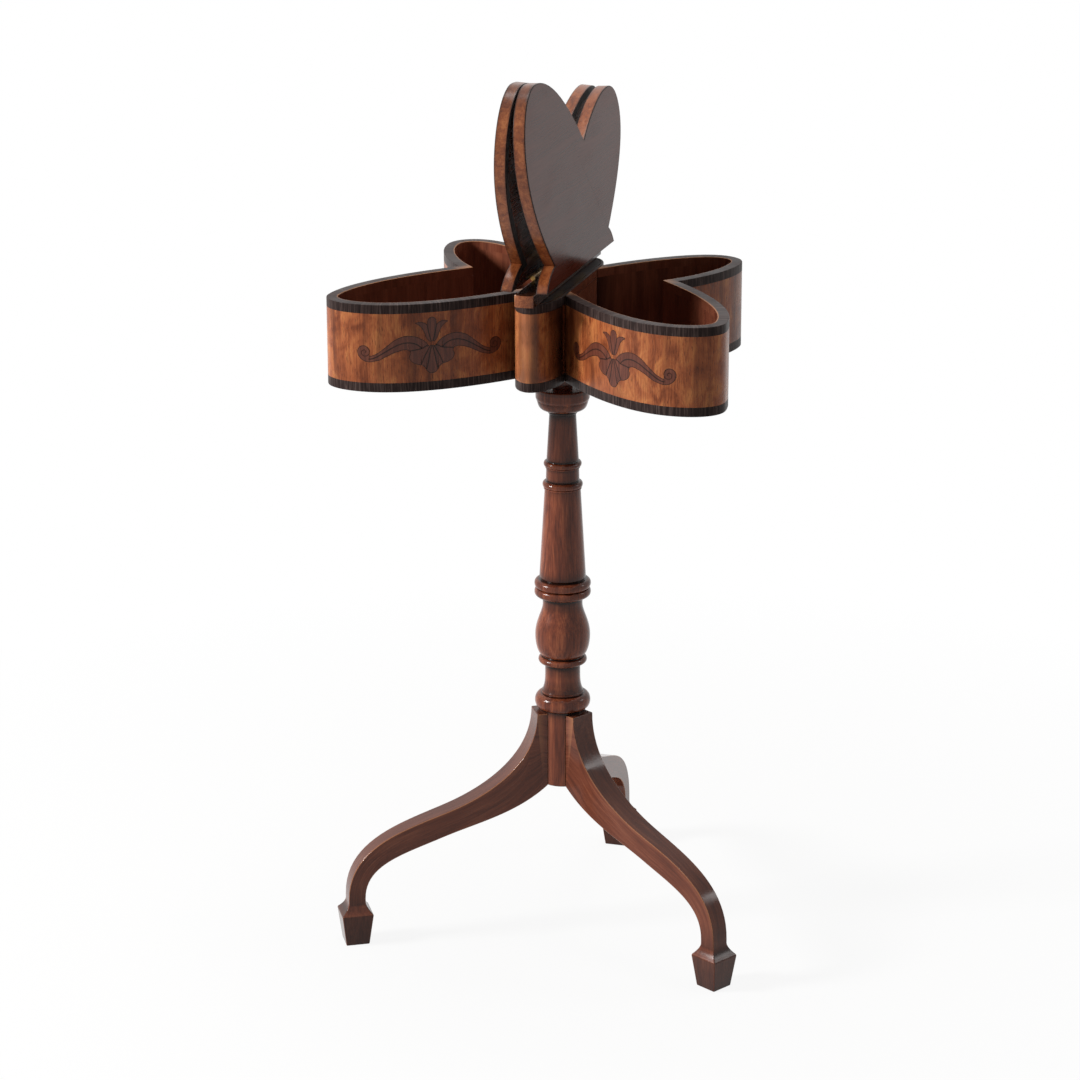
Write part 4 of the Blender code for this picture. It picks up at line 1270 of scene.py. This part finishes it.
def oval(grow, height):
    """The whole outline of the spine at a height."""
    right = half_oval(grow)
    points = right + mirrored(right[1:-1])[::-1]
    return [Vector((p.x, p.y + AXIS.y, height)) for p in points]


spine_ruler = ruler(half_oval(0.0))
print("spine outline", len(oval(0.0, 0.0)), "points")

# %% Spine and its bands
BAND_EASE = 0.0005


def spine_toning(co):
    """A painted highlight down the middle, and painted shade beside the wings, reaching across the
    right half.
    """
    share = co.x / BODY_HALF_WIDTH
    if abs(share) > 0.996:
        return 0.0
    return 0.3 * (1 - share**2) - (0.95 * share**2 if share > 0 else 0.8 * share**12)


def on_flank(face):
    """Whether a face of the spine looks into a box, where it gets the lining."""
    beside = abs(face.normal.x) > 0.99 and abs(face.center.x) > BODY_HALF_WIDTH - 0.0005
    return beside and face.area > 0.0005


waist = -BODY_BAND - FIT
levels = [(waist, BASE_Z), (waist, WALL_FOOT), (0.0, WALL_FOOT)]
levels += [(0.0, WALL_TOP), (waist, WALL_TOP), (waist, RIM_HEIGHT)]
spine = loft("veneered_spine", [oval(grow, z) for grow, z in levels])
lay_grain(spine, lambda co: Vector((co.z, spine_ruler(co)[0] + 0.5, 0.0)), spine_toning)
dress(spine, "stand", "mahogany_veneer", [mahogany_veneer, stained_lining, rosewood], "body_core")
refinish(spine, 1, on_flank)
refinish(spine, 2, lambda face: abs(face.normal.z) > FACING)
for name, bottom, top in (("rim", WALL_TOP, RIM_HEIGHT), ("base", BASE_Z, WALL_FOOT)):
    corners = [(0.0, bottom), (0.0, top), (-BODY_BAND, top), (-BODY_BAND, bottom)]
    band = hoop("spine_" + name + "_band", [oval(grow, z) for grow, z in corners])
    ease(band, BAND_EASE, 45.0, 2)
    lay_grain(band, lambda co: Vector((co.z, spine_ruler(co)[0] + 0.2, 0.0)))
    dress(band, "stand", "rosewood", [rosewood, stained_lining], "body_" + name + "_band")
    refinish(band, 1, on_flank)

# %% [markdown]
# ## Lids and cap
# A lid follows its wing with a small overhang, and takes in half of each prow so that the pair
# shuts tight against the cap. It is drawn shut and lying flat, where its shape is easy to reason
# about, and is swung up on its hinge line at the end. Housings for the hinges are cut in first.

# %% Outline of a lid
OVERHANG = 0.013
LID_BOTTOM = RIM_HEIGHT + FIT
LID_TOP = 0.7200
AXIS_X = 0.0105
AXIS_Z = 0.7215
CAP_HALF_WIDTH = 0.010
HINGE_GAP = 0.001
BARREL_RISE = 0.0015
LEAF_LENGTH = 0.038
LEAF_HEIGHT = 0.0092
LEAF_THICKNESS = 0.0015
LEAF_ROOM = 0.0001
CUT_ABOVE = 0.002
HINGE_ROWS = {"front": -0.050, "rear": 0.026}
LID_MEETING_GAP = 0.0004


def join_at_crossing(first, second):
    """Two runs cut where they cross and joined into one."""
    for i in range(len(first) - 1):
        for j in range(len(second) - 1):
            a, b = first[i + 1] - first[i], second[j + 1] - second[j]
            gap, turn = second[j] - first[i], cross(a, b)
            if abs(turn) < 1e-12:
                continue
            s, t = cross(gap, b) / turn, cross(gap, a) / turn
            if 0 <= s <= 1 and 0 <= t <= 1:
                return first[: i + 1] + [first[i] + a * s] + second[j + 1 :]
    raise ValueError("the outlines do not cross")


def cut_at_side(points, side):
    """A prow run ended where it reaches a distance from the middle."""
    for i in range(len(points) - 1):
        if points[i].x >= side > points[i + 1].x:
            share = (points[i].x - side) / (points[i].x - points[i + 1].x)
            return points[: i + 1] + [points[i].lerp(points[i + 1], share)]
    raise ValueError("the prow does not reach that far in")


hinge_edge = AXIS_X + HINGE_GAP / 2
front_end = cut_at_side(prow(FRONT_ROOT, FRONT_PROW, OVERHANG), hinge_edge)[::-1]
rear_end = cut_at_side(prow(REAR_ROOT, REAR_PROW, OVERHANG), hinge_edge)
lid_line = join_at_crossing(front_end, shifted(front_lobe, OVERHANG))
lid_line = join_at_crossing(lid_line, shifted(rear_lobe, OVERHANG))
lid_line = join_at_crossing(lid_line, rear_end)
lid_reach = max(p.x for p in lid_line) - AXIS_X
OPEN = math.pi / 2 + math.asin((AXIS_X + BARREL_RISE - LID_MEETING_GAP / 2) / lid_reach)
print("lid outline", len(lid_line), "points, opens", round(math.degrees(OPEN), 2), "degrees")


def housings(side, wood_side):
    """Cutters for the two hinge leaves let into one edge. Wood side says where the wood lies."""
    near = side * AXIS_X - wood_side * HINGE_GAP
    far = side * AXIS_X + wood_side * (HINGE_GAP / 2 + LEAF_THICKNESS + LEAF_ROOM)
    left, right = min(near, far), max(near, far)
    half = LEAF_LENGTH / 2 + LEAF_ROOM
    bottom = AXIS_Z - BARREL_RISE - LEAF_HEIGHT - LEAF_ROOM
    middles = [y + AXIS.y for y in HINGE_ROWS.values()]
    top = AXIS_Z + CUT_ABOVE
    return [block((left, y - half, bottom), (right, y + half, top)) for y in middles]


# %% Two lids, each with a crossband on its top
CROSSBAND = 0.0075
BAND_DEPTH = 0.0004
BAND_PROUD = 0.00006
LID_EASE = 0.0008
EDGE_SHADE = 0.0028
FAR_END, FAR_FADE = 0.03, 0.022
lid_ruler = ruler(lid_line)


def mitred(points, inset):
    """The lid's line moved inwards, its corners kept sharp, ended at the eased hinge edge."""
    normals = [Vector((a.y - b.y, b.x - a.x)).normalized() for a, b in zip(points, points[1:])]
    run = []
    for point, before, after in zip(points, normals[:1] + normals, normals + normals[-1:]):
        middle = (before + after).normalized()
        spot = point + middle * (inset / middle.dot(before))
        run.append(Vector((max(spot.x, hinge_edge + LID_EASE), spot.y)))
    return run


def lid_toning(co):
    """Painted shade on the hinge edge, in the gap beside the cap; darker on the edge along both
    arrises and round the far end.
    """
    inside = min(co.z - LID_BOTTOM, LID_TOP - co.z)
    if inside < TOUCH:
        return 0.0
    if abs(co.x) < AXIS_X + HINGE_GAP:
        return -0.8
    far = clamp((abs(co.x) - AXIS_X - lid_reach + FAR_END) / FAR_FADE)
    return -0.45 * far - (0.35 if inside < EDGE_SHADE - TOUCH else 0.0)


def swing_open(piece, side):
    """A piece of a lid, drawn shut, swung up on its hinge line."""
    pivot = Matrix.Translation((side * AXIS_X, 0.0, AXIS_Z))
    piece.data.transform(pivot @ Matrix.Rotation(-side * OPEN, 4, "Y") @ pivot.inverted())
    piece.data.update()


def level(edge):
    """Whether an edge lies flat."""
    return abs(edge.verts[0].co.z - edge.verts[1].co.z) < SAME


for name, side in SIDES.items():
    body = name + "_lid"
    lid = slab(name + "_heart_lid", placed(lid_line, side), LID_BOTTOM, LID_TOP)
    ease(lid, LID_EASE, 60.0, 2, level)
    edit(lid)
    for height in (LID_BOTTOM + EDGE_SHADE, LID_TOP - EDGE_SHADE):
        bpy.ops.mesh.select_all(action="SELECT")
        bpy.ops.mesh.bisect(plane_co=(0.0, 0.0, height), plane_no=(0.0, 0.0, 1.0))
    clear_selection()
    cut(lid, housings(side, side))
    lay_grain(lid, lambda co: Vector((co.y, co.x + 0.6 * side, co.z)), lid_toning)
    finishes = [edge_mahogany, satin_mahogany, rosewood, top_mahogany_painted_shade]
    dress(lid, body, "polished_mahogany", finishes, body)
    refinish(lid, 2, lambda face: abs(face.normal.z) > 0.25)
    refinish(lid, 1, lambda face: face.normal.z < -FACING)
    refinish(lid, 3, lambda face: face.normal.z > FACING)
    swing_open(lid, side)
    rows = [placed(mitred(lid_line, inset), side) for inset in (LID_EASE, LID_EASE + CROSSBAND)]
    band = strip(name + "_lid_crossband", rows, LID_TOP - BAND_DEPTH, BAND_DEPTH + BAND_PROUD)
    lay_grain(band, lambda co: Vector((lid_ruler(co)[1], lid_ruler(co)[0] + 0.4 * side, 0.0)))
    dress(band, body, "rosewood", [rosewood])
    swing_open(band, side)

# %% Cap
CAP_EASE = 0.0007
CAP_BORDER = 0.0016
CAP_ARRIS = 0.0009
CAP_SKIN = 0.0002


def cap_toning(co):
    """Painted shade on top and along the hinge sides, between the open lids, with a painted
    highlight along one arris.
    """
    beside, above = CAP_HALF_WIDTH - abs(co.x), LID_TOP - co.z
    if co.x < 0 and max(beside, above) < CAP_ARRIS:
        return 0.8
    return -0.85 if min(beside, above) < CAP_SKIN else 0.0


right_run = []
for root, length in ((FRONT_ROOT, FRONT_PROW), (REAR_ROOT, REAR_PROW)):
    whole = prow(root, length, OVERHANG)
    end = cut_at_side(whole, CAP_HALF_WIDTH)[-1:] + [p for p in whole if p.x < CAP_HALF_WIDTH]
    right_run += end if right_run else end[::-1]
cap_line = placed(right_run + mirrored(right_run[1:-1])[::-1], 1)
cap = slab("spine_cap_strip", cap_line, LID_BOTTOM, LID_TOP)
ease(cap, CAP_EASE, 60.0, 2)
edit(cap)
pick(cap, "FACE", lambda face: face.normal.z > FACING and face.calc_area() > 0.001)
bpy.ops.mesh.inset(thickness=CAP_BORDER, use_even_offset=True)
clear_selection()
for side in SIDES.values():
    cut(cap, housings(side, -side))
lay_grain(cap, lambda co: Vector((co.y, co.x, co.z)), cap_toning)
dress(cap, "stand", "polished_mahogany", [edge_mahogany], "spine_cap")

# %% [markdown]
# ## Metalwork
# The hinge leaves and the brace start as copies of their solids. The triangles are dissolved into
# clean faces and the edges are filed round with a small bevel, as a smith would. A screw is one
# turned shape with a sawn slot, modelled once in each size and copied to every hole.

# %% Filed hinge leaves and brace
FLAT_WITHIN = math.radians(1.0)
BRACE_FILED = 0.0003
LEAF_FILED = 0.00015


def filed_copy(node, width):
    """A copy of a metal solid, with flat faces made whole and edges filed round."""
    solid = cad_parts[node]
    piece = copied("filed_" + node, solid.data)
    piece.data.materials.clear()
    edit(piece, "SELECT")
    bpy.ops.mesh.remove_doubles(threshold=SAME)
    bpy.ops.mesh.dissolve_limited(angle_limit=FLAT_WITHIN)
    bpy.ops.object.mode_set(mode="OBJECT")
    piece.data.transform(solid.matrix_world)
    ease(piece, width, 50.0)
    return piece


brace = filed_copy("leg_brace", BRACE_FILED)
dress(brace, "stand", "wrought_iron", [wrought_iron], "leg_brace")
for name in SIDES:
    for row in HINGE_ROWS:
        hinge = name + "_" + row + "_hinge_"
        for part, body in (("cap", "stand"), ("lid", name + "_lid")):
            node = hinge + part + "_leaf"
            dress(filed_copy(node, LEAF_FILED), body, "brass", [brass], node)
        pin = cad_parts[hinge + "pin"]
        pin.data.materials.clear()
        pin.data.materials.append(brass)

# %% Slotted screws
SCREW_STEPS = 24
SCREW_PITCH = 0.022
BRACE_DROP = 0.0016


def screw_pattern(name, length, radius, head):
    """A countersunk screw along +X, its head flush at the origin, with a sawn slot."""
    turns = [math.tau * k / SCREW_STEPS for k in range(SCREW_STEPS)]
    steps = ((head, 0.0), (radius, head - radius), (radius, length - radius), (radius / 2, length))
    rings = [[Vector((d, r * math.cos(t), r * math.sin(t))) for t in turns] for r, d in steps]
    screw = loft(name, rings)
    deep, wide, thin = head * 0.3, head * 1.5, head * 0.13
    cut(screw, [block((-head, -wide, -thin), (deep, wide, thin))])
    return screw


def drive(node, spot, direction, body, slot, finish):
    """A copy of the screw in hand, driven in at a spot."""
    screw = copied("slotted_" + node, pattern.data)
    turn = Vector((1.0, 0.0, 0.0)).rotation_difference(direction).to_matrix().to_4x4()
    screw.data.transform(Matrix.Translation(spot) @ turn)
    dress(screw, body, slot, [finish], node)
    return screw


pattern = screw_pattern("brace_screw_pattern", length=0.016, radius=0.0018, head=0.0036)
low = Vector((0.0, 0.0, HEEL.y - FIT - BRACE_DROP))
drive("brace_screw_hub", AXIS + low, Vector((0.0, 0.0, 1.0)), "stand", "steel", steel)
first, second = LOW_HANDLES[:2]
under = curve(HEEL, HEEL + SPRING * first, UNDER_KNEE - FALL * second, UNDER_KNEE, 7)
along = (under[3] - under[1]).normalized()
inward = Vector((-along.y, 0.0, along.x))
spot = Vector((under[2].x, 0.0, under[2].y)) - inward * (FIT + BRACE_DROP)
for place, angle in LEG_ANGLES.items():
    turn = Matrix.Rotation(math.radians(angle), 3, "Z")
    drive("brace_screw_" + place, AXIS + turn @ spot, turn @ inward, "stand", "steel", steel)
bpy.data.objects.remove(pattern)
pattern = screw_pattern("hinge_screw_pattern", length=0.0075, radius=0.0009, head=0.0018)
height = AXIS_Z - BARREL_RISE - LEAF_HEIGHT / 2
for name, side in SIDES.items():
    for row, y in HINGE_ROWS.items():
        for k, step in ((1, -SCREW_PITCH / 2), (2, SCREW_PITCH / 2)):
            for part, way, body in (("cap", -side, "stand"), ("lid", side, name + "_lid")):
                node = name + "_" + row + "_hinge_" + part + "_screw_" + str(k)
                spot = Vector((side * AXIS_X + way * HINGE_GAP / 2, y + step + AXIS.y, height))
                screw = drive(node, spot, Vector((way, 0.0, 0.0)), body, "brass", brass)
                if part == "lid":
                    swing_open(screw, side)
bpy.data.objects.remove(pattern)
